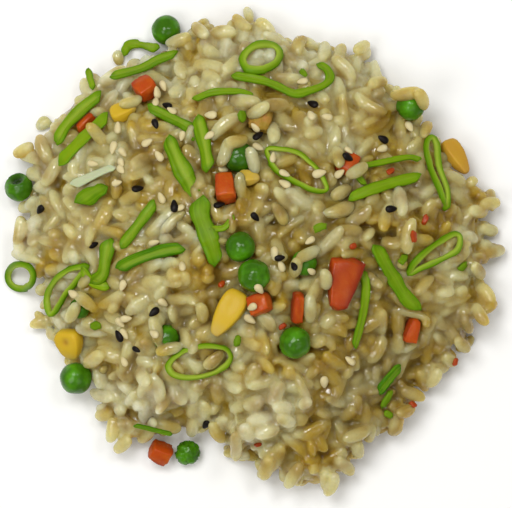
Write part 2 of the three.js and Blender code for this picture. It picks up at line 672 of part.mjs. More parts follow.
// Height of the highest face of the pieces at a place, or 0 beside them.
function topOf(geometry) {
  const mesh = new THREE.Mesh(geometry, new THREE.MeshBasicMaterial({ side: THREE.DoubleSide }));
  const raycaster = new THREE.Raycaster(new THREE.Vector3(), new THREE.Vector3(0, 0, -1));
  return (x, y) => {
    raycaster.ray.origin.set(x, y, 2 * heap.crown);
    const hits = raycaster.intersectObject(mesh);
    return hits.length ? hits[0].point.z : 0;
  };
}

// Seeds and scraps, half sunk in whatever is under them.
function sprinkled(top, random) {
  const chips = (places, { length, width, thickness, raised }) => places.map(([x, y]) => {
    const chip = new THREE.OctahedronGeometry(0.5).scale(length, width, thickness);
    return laid(chip, x, y, top(x, y) + raised, 360 * random(), surfaceNormal(x, y));
  });
  return [...chips([...paleSeeds, ...blackSeeds], seed), ...chips(specks, speck)];
}

// The largest piece of a solid, without loose scraps and sealed hollows.
function wholePiece(solid) {
  const larger = (one, other) => (other.volume() > one.volume() ? other : one);
  return solid.decompose().reduce(larger);
}

// The same skin with its corners on a fine grid, and without the faces that closes up.
function onGrid(solid, step) {
  const mesh = solid.getMesh();
  const corners = new Map();
  const positions = [];
  const cornerOf = Array.from({ length: mesh.numVert }, (_, i) => {
    const place = [0, 1, 2].map((axis) => Math.round(mesh.vertProperties[3 * i + axis] / step));
    const key = place.join();
    if (!corners.has(key)) {
      corners.set(key, corners.size);
      positions.push(...place.map((steps) => steps * step));
    }
    return corners.get(key);
  });
  const indices = [];
  for (let i = 0; i < mesh.triVerts.length; i += 3) {
    const [a, b, c] = [0, 1, 2].map((k) => cornerOf[mesh.triVerts[i + k]]);
    if (a !== b && b !== c && c !== a) indices.push(a, b, c);
  }
  const geometry = new THREE.BufferGeometry();
  geometry.setAttribute('position', new THREE.Float32BufferAttribute(positions, 3));
  geometry.setIndex(indices);
  geometry.computeVertexNormals();
  return geometry;
}

// True where every edge joins exactly two faces.
function edgesPaired(geometry) {
  const index = geometry.getIndex().array;
  const faces = new Map();
  for (let i = 0; i < index.length; i += 1) {
    const next = i % 3 === 2 ? i - 2 : i + 1;
    const edge = [Math.min(index[i], index[next]), Math.max(index[i], index[next])].join();
    faces.set(edge, (faces.get(edge) ?? 0) + 1);
  }
  return [...faces.values()].every((count) => count === 2);
}

function closedSkin(solid) {
  const skin = cornerGrids.map((step) => onGrid(solid, step)).find(edgesPaired);
  if (!skin) throw new Error('the rice does not close up on any grid');
  return skin;
}

function joined(solid, geometries) {
  return geometries.reduce((sum, geometry) => sum.add(solidFrom(geometry)), solid);
}

function riceGeometry() {
  const random = seededRandom(randomStart);
  const packed = solidFrom(packedRice(random));
  const grained = joined(packed, [...rimGrains(random), ...surfaceGrains(random)]);
  const covered = joined(grained, sprinkled(topOf(geometryFrom(grained)), random));
  const hollowed = toppings.reduce((rice, { makeRoom }) => rice.subtract(solidFrom(makeRoom())), covered);
  return closedSkin(wholePiece(hollowed).simplify(hair));
}

// ---------------------------------------------------------------- the heap, centred on its base

function named(name, geometry, look) {
  const mesh = new THREE.Mesh(geometry, new THREE.MeshStandardMaterial(finish[look]));
  mesh.name = name;
  return mesh;
}

const pieces = new THREE.Group();
pieces.add(named('rice_heap', riceGeometry(), 'rice'));
for (const { name, look, make } of toppings) pieces.add(named(name, make(), look));

const extent = new THREE.Box3().setFromObject(pieces);
pieces.position.set(
  -(extent.min.x + extent.max.x) / 2,
  -(extent.min.y + extent.max.y) / 2,
  -extent.min.z,
);

const friedRice = new THREE.Group();
friedRice.add(pieces);
friedRice.updateMatrixWorld(true);

export default friedRice;
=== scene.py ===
"""A loose heap of fried rice with peas, sweetcorn, carrot, egg, scallion and sesame.

Lengths are in metres. The heap stands on z = 0, seen from above with +X right and +Y away.
"""

import functools
import json
import math

import bmesh
import bpy
import numpy as np
from mathutils import Matrix, Quaternion, Vector, noise
from mathutils.bvhtree import BVHTree

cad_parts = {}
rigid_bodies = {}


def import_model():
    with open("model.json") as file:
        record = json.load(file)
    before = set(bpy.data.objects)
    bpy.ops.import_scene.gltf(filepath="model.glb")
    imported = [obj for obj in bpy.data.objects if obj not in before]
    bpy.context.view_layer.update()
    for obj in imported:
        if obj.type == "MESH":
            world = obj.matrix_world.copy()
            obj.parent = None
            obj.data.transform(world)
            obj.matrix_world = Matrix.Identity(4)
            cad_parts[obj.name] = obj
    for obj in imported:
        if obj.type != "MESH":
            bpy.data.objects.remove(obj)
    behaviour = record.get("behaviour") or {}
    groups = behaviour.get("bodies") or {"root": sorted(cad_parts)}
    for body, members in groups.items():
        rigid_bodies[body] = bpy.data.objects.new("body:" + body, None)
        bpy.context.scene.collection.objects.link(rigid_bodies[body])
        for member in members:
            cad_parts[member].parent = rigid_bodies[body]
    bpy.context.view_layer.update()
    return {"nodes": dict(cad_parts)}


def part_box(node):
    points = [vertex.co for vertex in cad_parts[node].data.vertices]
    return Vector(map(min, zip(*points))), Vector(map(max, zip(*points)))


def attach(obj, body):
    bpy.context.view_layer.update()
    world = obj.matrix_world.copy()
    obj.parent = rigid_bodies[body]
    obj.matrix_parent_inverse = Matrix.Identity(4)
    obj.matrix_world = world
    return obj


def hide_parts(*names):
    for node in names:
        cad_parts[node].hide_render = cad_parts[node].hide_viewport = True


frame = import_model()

bl_info = {
    "name": "Fried rice heap",
    "version": (1, 0, 0),
    "blender": (4, 5, 0),
    "location": "View3D > Sidebar > Fried rice",
    "description": "Dresses a heap of fried rice: grains, vegetables, scallion and seeds",
    "category": "Object",
}

MM = 0.001
RICE_NODE = "rice_heap"
HIGH_UP = 100 * MM  # rays that look down at the heap start here

# ------------------------------------------------------------------ places of the toppings
# All places are in millimetres from the middle of the heap, before it is centred on its box.

PEAS = {  # node: (x, y, radius, squash, look)
    "pea_01": (-22.5, 56, 3.7, 1.0, "smooth"),
    "pea_02": (-59.5, 16.5, 3.6, 0.92, "split"),
    "pea_03": (38.5, 36.5, 3.6, 1.0, "smooth"),
    "pea_04": (-3.8, 1.5, 3.7, 1.0, "smooth"),
    "pea_05": (-0.5, -5.5, 4.0, 1.0, "smooth"),
    "pea_06": (9.5, -22, 4.0, 1.0, "smooth"),
    "pea_07": (-45, -31.3, 4.0, 1.0, "smooth"),
    "pea_08": (-17.2, -50.2, 3.3, 0.85, "wrinkled"),
    "pea_09": (-22.2, -20.8, 3.3, 1.0, "smooth"),
    "pea_10": (11.7, -2.5, 3.2, 1.0, "smooth"),
    "pea_11": (-4.2, 23.6, 3.9, 0.9, "deep"),
    "pea_12": (-43.7, -13.7, 2.6, 1.0, "smooth"),
}

CORN = {  # node: (x, y, degrees from root to crown, length, width, depth, look)
    "corn_01": (-32.8, 35.4, 200, 6.6, 5.2, 4.4, "plain"),
    "corn_02": (50.4, 24, 118, 10, 5.7, 4.6, "orange"),
    "corn_03": (-7.4, -15, 58, 12.6, 7.8, 5.2, "plain"),
    "corn_04": (-46.2, -22.9, 95, 8, 8.2, 5, "dented"),
    "corn_05": (-1.7, 18.3, 175, 5.4, 4.2, 3.6, "pale"),
}

DICE = {  # node: (x, y, degrees, length, width, depth, taper, darkness)
    "carrot_01": (-27.5, 41, 38, 5, 5, 4.4, 0.9, 0.3),
    "carrot_02": (-42, 32.1, 46, 5.2, 1.8, 4, 0.9, 0.4),
    "carrot_03": (-7.7, 16, 96, 6.6, 5, 5.2, 0.85, 0.2),
    "carrot_04": (1, -12.3, 18, 5.2, 5, 4.4, 0.9, 0.1),
    "carrot_05": (10.2, -13.4, 88, 7.2, 2.8, 4, 0.9, 0.4),
    "carrot_06": (20.2, -7.8, 258, 12, 8.8, 4.8, 0.5, 0.75),
    "carrot_07": (22.7, 22, 60, 5.2, 4.6, 4, 0.9, 0.3),
    "carrot_08": (39, -19, 75, 6, 3.8, 3.8, 0.6, 0.1),
    "carrot_09": (-24.2, -49.9, 150, 5.2, 4.8, 4.6, 0.8, 0.35),
}

EGG = {"egg_01": (1.5, 33, 70, 5.6, 5, 4, 0.8, 0.0)}

# Leaves: node, width, how deep the fold along the middle is, ripeness, points.
# Ripeness is 0 for deep green, 1 for yellowish and more for the white of the scallion.
LEAVES = (
    ("scallion_01", 2.4, 0.3, 0.8, ((-33.5, 50), (-32, 52.3), (-29, 52.6), (-24.6, 51.2))),
    ("scallion_02", 3.0, 0.5, 0.5, ((-36.2, 44.3), (-29, 46.2), (-24.2, 48.6), (-19.8, 50))),
    ("scallion_03", 2.0, 0.3, 0.8, ((-42.2, 46.2), (-41.4, 43.4), (-40.6, 41))),
    ("scallion_04", 3.8, 0.8, 0.7, ((-38.6, 39.8), (-43.6, 36), (-47.6, 31.6), (-49.8, 27.4))),
    ("scallion_05", 3.8, 0.1, 0.9, ((-36.8, 34.4), (-43, 28.6), (-49, 22.4))),
    (
        "scallion_07", 2.4, 0.3, 0.6,
        (
            (-5.8, 44.2), (2, 42.7), (6, 41.1), (9.5, 39.6), (12.8, 40.2),
            (16.6, 41.6), (18.4, 43.6), (17.6, 46), (15.4, 47.2),
        ),
    ),
    ("scallion_08", 1.9, 0.2, 0.6, ((-15.6, 38), (-10.5, 39.8), (-4.2, 40), (-0.4, 38.8))),
    ("scallion_09", 3.0, 0.5, 0.4, ((-26.8, 36.4), (-21.6, 33.8), (-16.8, 31.2), (-14.4, 28.4))),
    ("scallion_10", 3.5, 0.8, 0.5, ((-14.6, 33.8), (-13, 28.2), (-11.5, 20.4))),
    ("scallion_11", 4.2, 0.8, 0.5, ((-21.8, 28.6), (-19.4, 23), (-16.6, 17.6), (-14.4, 13.6))),
    (
        "scallion_12", 4.8, 0.2, 0.5,
        ((-13.8, 13.6), (-13.6, 9.2), (-11.2, 3), (-9.4, -2.6)),
    ),
    ("scallion_12", 1.6, 0.2, 0.8, ((-11.3, 6), (-7.8, 6.2), (-5.4, 9.2))),
    ("scallion_13", 3.0, 0.5, 0.5, ((-24.8, 12.6), (-27.2, 9.4), (-30, 5.8), (-33.4, 1.6))),
    ("scallion_14", 3.2, 0.6, 0.1, ((-17.8, 1.4), (-23.5, 0.4), (-29.8, -1.8), (-34, -4))),
    ("scallion_15", 3.6, 0.6, 0.5, ((-36.4, 3.4), (-37.2, -1.2), (-38, -5.2), (-40.6, -7.6))),
    ("scallion_15", 2.6, 0.6, 1.0, ((-43.2, -3.6), (-40.8, -7.2), (-36.4, -8.2))),
    ("scallion_20", 4.2, 0.3, 0.45, ((-44, 12.2), (-40.6, 14.6), (-37, 16.6))),
    ("scallion_21", 2.5, 0.1, 1.2, ((-45.6, 16.8), (-40.4, 19.2), (-35, 21.4))),
    (
        "scallion_23", 1.7, 0.2, 0.7,
        ((41, 23.2), (37.8, 23.9), (31.5, 22.6), (25.6, 21.2), (25.4, 19), (27, 16.9)),
    ),
    ("scallion_24", 2.8, 0.2, 0.7, ((22.8, 13.4), (27.5, 15.4), (32.8, 17.2), (40.8, 19.2))),
    (
        "scallion_27", 3.6, 0.2, 0.5,
        ((29.6, 2), (31.8, -2.4), (34.2, -6.4), (36.8, -10.6), (40, -14.2)),
    ),
    (
        "scallion_28", 2.4, 0.3, 0.65,
        ((26, -4.2), (27, -7.8), (26.8, -13), (26, -17.6), (24.4, -23.3)),
    ),
    ("scallion_30", 1.5, 0.2, 0.2, ((-30.4, -43), (-25, -44.4), (-21, -45.4))),
    ("scallion_31", 2.9, 0.3, 0.05, ((36, -28.3), (33.2, -31.4), (30.6, -34.6))),
)


def oval(x, y, half_length, half_width, degrees, count):
    """Points round an oval ring."""
    turn = math.radians(degrees)
    points = []
    for i in range(count):
        angle = i / count * math.tau
        along, across = half_length * math.cos(angle), half_width * math.sin(angle)
        points.append((
            x + along * math.cos(turn) - across * math.sin(turn),
            y + along * math.sin(turn) + across * math.cos(turn),
        ))
    return tuple(points)


# Rings and flattened loops: node, strand width, ripeness, points round the loop.
LOOPS = (
    ("scallion_06", 2.0, 0.55, oval(1.4, 48.9, 4.9, 3.3, 18, 10)),
    (
        "scallion_16", 1.5, 0.6,
        (
            (-42.2, -3.6), (-47.2, -4.6), (-50.8, -7.6), (-52.6, -11.8),
            (-51.6, -15.4), (-49.8, -13.8), (-47.8, -10.4), (-45.2, -7.6),
        ),
    ),
    ("scallion_17", 1.7, 0.4, oval(-59.2, -6, 3.3, 3, 0, 9)),
    (
        "scallion_22", 1.2, 0.8,
        (
            (2.4, 25.3), (6, 25.7), (10.4, 24.5), (13.4, 22.2), (16, 19.4),
            (17.4, 15.6), (14.2, 15.6), (11.4, 16.8), (8.2, 18.6), (5, 20.6),
        ),
    ),
    (
        "scallion_25", 1.5, 0.6,
        (
            (44, 29.2), (42.7, 26.6), (43.6, 21.6), (46, 15.6),
            (47.4, 11.4), (47.8, 15.8), (45.8, 22), (45.5, 27.2),
        ),
    ),
    (
        "scallion_26", 1.5, 0.55,
        (
            (38, -5.2), (41.4, -3.6), (46.4, -1.4), (50.2, 0.6), (51, 4),
            (49.2, 4.8), (46, 3), (42.6, 0.6), (40, -1.8),
        ),
    ),
    ("scallion_29", 1.4, 0.75, oval(-14, -27, 7.9, 3.9, 12, 12)),
)

PALE_SEEDS = (
    (-23, 41.5), (-24.5, 39.8), (-24.8, 37.5), (-20.8, 35.2), (-34.2, 31), (-18.2, 28.8),
    (-26.8, 27.2), (-35.2, 26), (-32.8, 24.8), (-40.2, 22), (-33.2, 22.2), (-23.8, 23.8),
    (-33.2, 20.5), (-34.2, 17.2), (-11.2, 34), (-11.5, 28.8), (11.5, 42.5), (13.5, 33.8),
    (17.5, 33.5), (-0.2, 30.8), (0.5, 26), (-8, 20.5), (4.2, 23.5), (7, 19.5), (7, 17),
    (15.5, 19.5), (38.2, 31.5), (31.2, 25.8), (22.8, 25.2), (20.5, 19.5), (-25, 2.5),
    (-18, -3.2), (-23.2, 13.5), (-18.8, 11), (0.8, -8.8), (-1, -13.2), (-1.5, -16.2),
    (4.5, -0.2), (6.2, -3.2), (13.5, -4.5), (13.2, 3), (-32.8, -8), (-45.2, -10),
    (-32, -16.2), (-33.5, -17.2), (-32.5, -20), (-25, -19.8), (-32.5, -26.8), (-22.8, -12.2),
    (16.8, -31.8), (23.2, -26.5),
)
BLACK_SEEDS = (
    (-22, 36.5), (-24.8, 31.8), (-29, 15.8), (14, 36.8), (0.5, 28.8), (22.5, 23.5),
    (31.5, 28.2), (-20, 11.5), (-9, 11.8), (-0.2, 8.8), (-25, -14.5), (5.8, -1.2),
    (9.2, -3.2), (-53.8, 10.8), (-40, 2), (33.2, 10.8), (-33.8, -20.5), (-29.5, -23.8),
    (-12.5, -42.8),
)

# Where the rice is paler (below 0) or darker (above 0), partly as sauce and partly as painted light
# and shade: x, y, reach, by how much.
PATCHES = (
    (0, 56, 16, -0.85), (-18, 56, 10, -0.5), (-58, 25, 16, -1.1), (-33, 40, 14, -0.55),
    (22, 46, 12, -0.5), (-46, -20, 9, -0.8), (-34, -38, 14, -0.85), (-20, -34, 9, -0.45),
    (2, -40, 8, -0.8), (-8, -46, 8, -0.4), (-30, 4, 9, -0.4), (-58, 2, 10, -0.5),
    (-44, -4, 8, -0.4), (56, 2, 8, -0.3), (34, 40, 10, -0.45), (10, -56, 10, -0.1),
    (31, -33, 14, 0.65), (20, -42, 10, 0.4), (41, -20, 12, 0.3), (32, -8, 9, 0.55),
    (57, -20, 8, 0.6), (-6, -7, 8, 0.55), (6, 5, 8, 0.5), (-7, 19, 8, 0.55),
    (-20, -19, 8, 0.4), (45, 16, 10, 0.3), (20, 6, 9, 0.4), (18, 18, 10, 0.2),
    (-20, 20, 8, 0.35), (20, -18, 9, 0.35), (-45, -31, 6, 0.6), (6, -20, 7, -0.35),
    (8, 32, 8, 0.3), (30, 19, 8, 0.3),
)

# Hollows between clumps: x, y, radius, how much deeper.
HOLLOWS = (
    (-4.5, 24.5, 4.5, 2.2), (-29, 17, 4, 1.8), (8.5, 20.8, 4, 1.6), (22.3, 12, 4, 2),
    (7.3, 7, 4, 1.6), (-8.5, -9.3, 3.5, 1.6), (29.8, -30.5, 5, 2.4), (19.8, -39.3, 4, 2),
    (11, -44.3, 3.5, 1.8), (34.8, 30.8, 4.5, 2), (-39, -21.8, 3.5, 1.6), (30.5, -19.3, 4, 2),
)

# Grains that stand out on the heap: x, y, degrees, length, width, thickness, curl, tint.
LAID_GRAINS = (
    (17.8, 2.6, 46, 11.5, 3.4, 3, 0.02, 0.1), (-2.6, 37.4, -8, 8.4, 3.8, 3, 0.03, 0.0),
    (4.6, 36.4, 8, 8, 3.6, 3, -0.03, 0.05), (-7.4, 31.4, 38, 10.5, 3.6, 3, -0.11, 0.0),
    (4.2, 29.6, 100, 6.8, 3.5, 3, 0.04, 0.1), (28.2, 36.7, -32, 9.6, 3.6, 3, 0.1, 0.05),
    (35.6, 12.8, 97, 9.4, 3.5, 3, 0.04, 0.0), (37.6, 4.2, 80, 9.4, 3.6, 3, -0.05, 0.05),
    (17, -6.4, 100, 6.4, 3.4, 3, 0.0, 0.1), (5, -34.4, 65, 6.8, 3.8, 3, 0.0, -0.3),
    (-0.6, -37.2, 18, 6.2, 3.8, 3, 0.02, -0.3), (6.5, -38, -10, 6.4, 3.7, 3, 0.0, -0.3),
    (1.4, -41, 10, 8.2, 3.9, 3.1, 0.03, -0.3), (7.4, -41.2, -25, 6.4, 3.6, 3, 0.0, -0.3),
    (-2.1, -44.2, 120, 6.8, 3.9, 3.1, 0.02, -0.3), (2.8, -44, 22, 6.4, 3.6, 3, 0.0, -0.3),
    (12, -37, 30, 4.6, 3.2, 2.8, 0.0, -0.1), (4.6, -51.2, 62, 10.2, 4.3, 3.2, 0.02, 0.1),
    (2.6, -53.6, 75, 8.4, 3.8, 3, 0.0, 0.0), (9.4, -55.4, 60, 8.6, 3.7, 3, 0.02, 0.1),
    (-5, -47.8, 92, 11.4, 3.2, 2.8, 0.02, 0.2),
    (-40.4, -26.4, 35, 8.6, 3.9, 3.3, 0.02, -0.1), (-51, 20, 60, 8, 3.7, 3, 0.05, -0.3),
    (-53, 26, 110, 8, 3.7, 3, -0.05, -0.3), (25, -45, 20, 8.2, 3.6, 3, 0.04, 0.1),
    (30, -24, 60, 8, 3.6, 3, 0.06, 0.2), (22, 46, 130, 8.6, 3.6, 3, 0.05, 0.0),
)

# Grains over the sides of half-buried pieces, laid last, with the same values.
COVERING_GRAINS = (
    (37.2, 39.5, 8, 8.4, 3.6, 3, 0.04, 0.1), (41, 38.2, 115, 7, 3.4, 2.9, 0.03, 0.2),
    (-24.6, -19, 105, 7.4, 3.4, 2.9, 0.04, 0.2), (-21.4, -23.6, 15, 7, 3.4, 2.9, 0.0, 0.3),
    (12.8, -0.2, 25, 7.4, 3.4, 2.9, 0.03, 0.2), (9.6, -3.6, 80, 6.8, 3.3, 2.8, 0.03, 0.3),
    (-7.6, 24.6, 72, 7.8, 3.5, 3, 0.05, 0.2), (-0.8, 22.6, 105, 7.2, 3.5, 3, 0.03, 0.0),
    (-4.6, 27.4, 8, 7, 3.4, 2.9, 0.03, 0.1), (-45.4, -14.8, 60, 7, 3.4, 2.9, 0.03, 0.1),
    (-42.2, -11.8, 140, 7, 3.3, 2.8, 0.03, 0.2), (24.8, 20.2, 30, 7.2, 3.4, 2.9, 0.04, 0.3),
    (20.2, 23.6, 100, 6.8, 3.3, 2.8, 0.03, 0.2), (-19.4, 53.2, 20, 7, 3.4, 2.9, 0.03, 0.1),
    (-3.8, 16.6, 95, 6.6, 3.2, 2.8, 0.0, 0.3), (0.6, 35, 30, 6.6, 3.4, 2.9, 0.03, 0.1),
    (13.2, -13.6, 92, 7.8, 3.4, 2.9, 0.0, 0.05), (-13.2, -14.6, 100, 7, 3.4, 2.9, 0.03, 0.2),
    (-31, 37.4, 20, 6.4, 3.2, 2.8, 0.03, 0.2), (-39.6, 29.6, 130, 7, 3.3, 2.8, 0.03, 0.2),
)

# Crumbs of carrot and of scallion: x, y, length, width, degrees.
CARROT_CRUMBS = (
    (33.2, 20.2, 2.2, 1.3, 40), (38.7, 4, 2.6, 1.4, 100), (41.7, 8.2, 2.2, 1.2, 70),
    (23.7, 1.7, 1.8, 1.2, 10), (-8.4, -7.6, 1.8, 1.2, 50), (0.5, -47.5, 1.6, 1, 20),
    (39.2, -37.8, 1.8, 1.2, 130), (49.8, -27.2, 1.8, 1.1, 80), (6.5, -18, 1.8, 1.1, 30),
)
GREEN_CRUMBS = (
    (15.5, 6.2, 3, 1.8, 20), (-3.4, 33.6, 2.6, 2, 90), (11.7, 44.6, 2.4, 1.4, 120),
    (36.2, -1.6, 2.6, 1.6, 60), (51.4, -3.4, 2.6, 1.6, 40), (33, -40.2, 2.2, 1.5, 150),
    (-4.6, -21.6, 2.4, 1.5, 80), (-39.7, -18, 2.6, 1.8, 10), (32.5, -36.4, 4.4, 1.6, 62),
)


def centring():
    """How far the heap was moved to stand in the middle of its box, in metres."""
    moves = []
    for node, (x, y, *_) in PEAS.items():
        low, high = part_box(node)
        moves.append(((low + high) / 2).xy - Vector((x, y)) * MM)
    return sum(moves, Vector((0, 0))) / len(moves)


SHIFT = centring()


def spot(x, y):
    """A place of the tables above, in metres in the scene."""
    return x * MM + SHIFT.x, y * MM + SHIFT.y


def patch_tint(x, y):
    """How much darker than elsewhere the rice is at a place of the scene, partly as sauce and partly
    as painted light and shade.
    """
    x, y = (x - SHIFT.x) / MM, (y - SHIFT.y) / MM
    total = 0.0
    for px, py, reach, amount in PATCHES:
        total += amount * math.exp(-((x - px) ** 2 + (y - py) ** 2) / (2 * (0.6 * reach) ** 2))
    return total


# ------------------------------------------------------------------ sizes and colours


def length_setting(name, description, millimetres):
    """A length that can be set."""
    return bpy.props.FloatProperty(
        name=name, description=description, default=millimetres * MM, unit="LENGTH",
    )


def colour_setting(name, description, red, green, blue):
    """An opaque colour that can be set."""
    return bpy.props.FloatVectorProperty(
        name=name, description=description, default=(red, green, blue, 1),
        subtype="COLOR", size=4, min=0, max=1,
    )


class RiceSettings(bpy.types.PropertyGroup):
    """Sizes and colours of the rice."""

    length: length_setting("Grain length", "Mean length of a cooked grain", 8)
    width: length_setting("Grain width", "Mean width of a cooked grain", 3.4)
    thickness: length_setting("Grain thickness", "Mean thickness of a cooked grain", 2.5)
    depth: length_setting("Layer depth", "How deep the loose grains lie over the core", 3.4)
    sunk: length_setting("Sunk", "How far a grain presses into what is under it", 1.05)
    voxel: length_setting("Fineness", "Cell size of the skin over grains that stick together", 0.34)
    facets: bpy.props.IntProperty(
        name="Facets", description="How many triangles the skin over the grains keeps",
        default=190000, min=1000,
    )
    relief: length_setting("Relief", "How far grains stand out of the rice between them", 0.5)
    most: bpy.props.IntProperty(
        name="Most grains", description="The laying stops at this many grains",
        default=3000, min=1,
    )
    seed: bpy.props.IntProperty(
        name="Seed", description="Start of the random draws", default=7,
    )
    pale: colour_setting("Pale rice", "Colour of the whitest grains", 0.475, 0.43, 0.2)
    tan: colour_setting("Tan rice", "Colour of the most sauced grains", 0.365, 0.242, 0.026)
    # the sauce colour is also painted as shade deep between the grains
    sauce: colour_setting("Sauce", "Colour deep between the grains", 0.19, 0.1, 0.004)


class ToppingSettings(bpy.types.PropertyGroup):
    """Colours of the vegetables and seeds."""

    pea: colour_setting("Pea", "Colour of a cooked pea", 0.036, 0.125, 0.002)
    corn: colour_setting("Corn", "Colour of a kernel's crown", 0.56, 0.38, 0.018)
    carrot: colour_setting("Carrot", "Colour of the diced carrot", 0.43, 0.062, 0.004)
    egg: colour_setting("Egg", "Colour of the fried egg", 0.31, 0.2, 0.026)
    leaf: colour_setting("Leaf", "Colour of the deep green scallion", 0.036, 0.14, 0.001)
    ripe_leaf: colour_setting("Yellowish leaf", "Colour of the palest scallion", 0.2, 0.3, 0.004)


class StageSettings(bpy.types.PropertyGroup):
    """Camera and light."""

    distance: length_setting("Camera distance", "Height of the camera over the table", 900)
    width_seen: length_setting("Width seen", "Width of the picture at the heap's middle height", 128)
    reach: length_setting("Light distance", "How far the lights stand from the heap", 900)
    brightness: bpy.props.FloatProperty(
        name="Brightness", description="Strength of all lights together", default=1.07,
    )
    sky: bpy.props.FloatProperty(
        name="Sky", description="Strength of the light from all round", default=0.34,
    )


def settings():
    """The scene's settings for the heap."""
    return bpy.context.scene.fried_rice


class HeapSettings(bpy.types.PropertyGroup):
    """All settings of the heap."""

    rice: bpy.props.PointerProperty(
        type=RiceSettings, name="Rice", description="Sizes and colours of the rice",
    )
    topping: bpy.props.PointerProperty(
        type=ToppingSettings, name="Toppings", description="Colours of the toppings",
    )
    stage: bpy.props.PointerProperty(
        type=StageSettings, name="Stage", description="Camera and light",
    )


# ------------------------------------------------------------------ node trees


class Socket:
    """An output of a node. Arithmetic on it adds Math nodes."""

    def __init__(self, tree, socket):
        self.tree, self.socket = tree, socket

    def _math(self, operation, first, second=0.0):
        return self.tree.node("ShaderNodeMath", {0: first, 1: second}, operation=operation)

    def __add__(self, other):
        return self._math("ADD", self, other)

    def __radd__(self, other):
        return self._math("ADD", other, self)

    def __sub__(self, other):
        return self._math("SUBTRACT", self, other)

    def __rsub__(self, other):
        return self._math("SUBTRACT", other, self)

    def __mul__(self, other):
        return self._math("MULTIPLY", self, other)

    def __truediv__(self, other):
        return self._math("DIVIDE", self, other)

    def __rtruediv__(self, other):
        return self._math("DIVIDE", other, self)

    def __pow__(self, other):
        return self._math("POWER", self, other)

    def __abs__(self):
        return self._math("ABSOLUTE", self)

    def at_least(self, other):
        return self._math("MAXIMUM", self, other)

    def at_most(self, other):
        return self._math("MINIMUM", self, other)


class Tree:
    """Adds nodes to a node tree."""

    def __init__(self, tree):
        self.tree = tree

    def node(self, kind, values=None, output=0, **options):
        """Adds a node with values or links for its sockets, and returns one output."""
        made = self.tree.nodes.new(kind)
        for option, value in options.items():
            setattr(made, option, value)
        for key, value in (values or {}).items():
            self.feed(made.inputs[key], value)
        return Socket(self, made.outputs[output]) if len(made.outputs) else made

    def feed(self, target, value):
        """Links an output to a socket, or sets the socket's own value."""
        if isinstance(value, Socket):
            self.tree.links.new(value.socket, target)
        else:
            target.default_value = value

    def vector(self, operation, first, second, output=0):
        """Arithmetic on vectors. SCALE takes a number as its second value."""
        values = {0: first, 3 if operation == "SCALE" else 1: second}
        return self.node("ShaderNodeVectorMath", values, output, operation=operation)


class Finish(Tree):
    """A surface's material, with what all of them share."""

    def __init__(self, name):
        self.material = bpy.data.materials.new(name)
        self.material.use_nodes = True
        super().__init__(self.material.node_tree)
        self.tree.nodes.clear()
        self.place = self.node("ShaderNodeTexCoord", output="Object")

    def noise(self, size, detail=2.0):
        """Soft clouds of that size, from 0 to 1."""
        values = {"Vector": self.place, "Scale": 1 / size, "Detail": detail}
        return self.node("ShaderNodeTexNoise", values)

    def attribute(self, name):
        """A number that the mesh holds at each place."""
        return self.node("ShaderNodeAttribute", output="Fac", attribute_name=name)

    def ramp(self, value, low, high):
        """0 below low, 1 above high, straight between."""
        level = self.node("ShaderNodeValToRGB", {0: value})
        for element, position in zip(level.socket.node.color_ramp.elements, (low, high)):
            element.position = position
        return level

    def mix(self, share, first, second):
        """Two colours mixed."""
        values = {0: share, 6: first, 7: second}
        return self.node("ShaderNodeMix", values, output=2, data_type="RGBA")

    def bump(self, height, strength, distance):
        """The surface's normal, tilted by a height."""
        values = {"Height": height, "Strength": strength, "Distance": distance}
        return self.node("ShaderNodeBump", values)

    def finish(self, **sockets):
        """Ends the material with one surface. A name's underscores stand for spaces."""
        values = {key.replace("_", " ").title(): value for key, value in sockets.items()}
        values = {key.replace("Ior", "IOR"): value for key, value in values.items()}
        surface = self.node("ShaderNodeBsdfPrincipled", values)
        self.node("ShaderNodeOutputMaterial", {"Surface": surface})
        return self.material


# ------------------------------------------------------------------ finishes


def rice_finish(name, clearness):
    """Cooked rice: half clear, oily, from white to tan by each grain's own tint.

    A tint of 0 is pale and 1 is tan. Below 0 the grain is white and above 1 it is darker still.
    Besides sauce, the tint holds painted shade where grains lie deep or face sideways, and partly
    painted light below 0.
    """
    shade = Finish(name)
    rice = settings().rice
    white = (0.57, 0.545, 0.37, 1)
    # painted shade: the colour that the skin is darkened towards over the darker patches
    painted_shade_colour = (0.16, 0.115, 0.032, 1)
    clouds = shade.noise(9 * MM, detail=1)
    mottle = shade.noise(1.6 * MM, detail=3)
    # faces that turn away from straight up are painted a little tanner: painted shade on the sides
    sides = 1 - shade.attribute("upward")
    sauced_and_shaded = shade.attribute("tint") + (clouds - 0.5) * 3.0 + (mottle - 0.5) * 0.2 + sides * 0.08
    some = sauced_and_shaded.at_least(0).at_most(1)
    much = (sauced_and_shaded - 1).at_least(0).at_most(1)
    # below 0 the rice turns whiter: partly paler rice, partly painted light
    paler_and_lit = (0 - sauced_and_shaded).at_least(0).at_most(1)
    colour = shade.mix(some, tuple(rice.pale), tuple(rice.tan))
    colour = shade.mix(paler_and_lit, colour, white)
    stain_and_shade = shade.ramp(shade.noise(7 * MM, detail=1.2), 0.5, 0.68) * 0.6
    # deep adds the sauce colour deep in the gaps: partly sauce, partly painted shade
    stain_and_shade = (stain_and_shade + much + shade.attribute("deep") * 0.4).at_most(1)
    colour = shade.mix(stain_and_shade, colour, tuple(rice.sauce))
    # painted shade over the darker patches
    colour = shade.mix(shade.attribute("painted_shade") * 0.75, colour, painted_shade_colour)
    pits = shade.noise(0.7 * MM)
    wet = shade.ramp(shade.noise(0.8 * MM), 0.48, 0.62)
    return shade.finish(
        base_color=colour,
        roughness=0.14 + mottle * 0.18,
        specular_ior_level=0.15,
        normal=shade.bump(pits, 0.5, 0.22 * MM),
        subsurface_weight=1.0,
        subsurface_radius=(1.0, 0.8, 0.5),
        subsurface_scale=clearness,
        coat_weight=wet * 0.7,
        coat_roughness=0.08,
        coat_ior=1.8,
    )


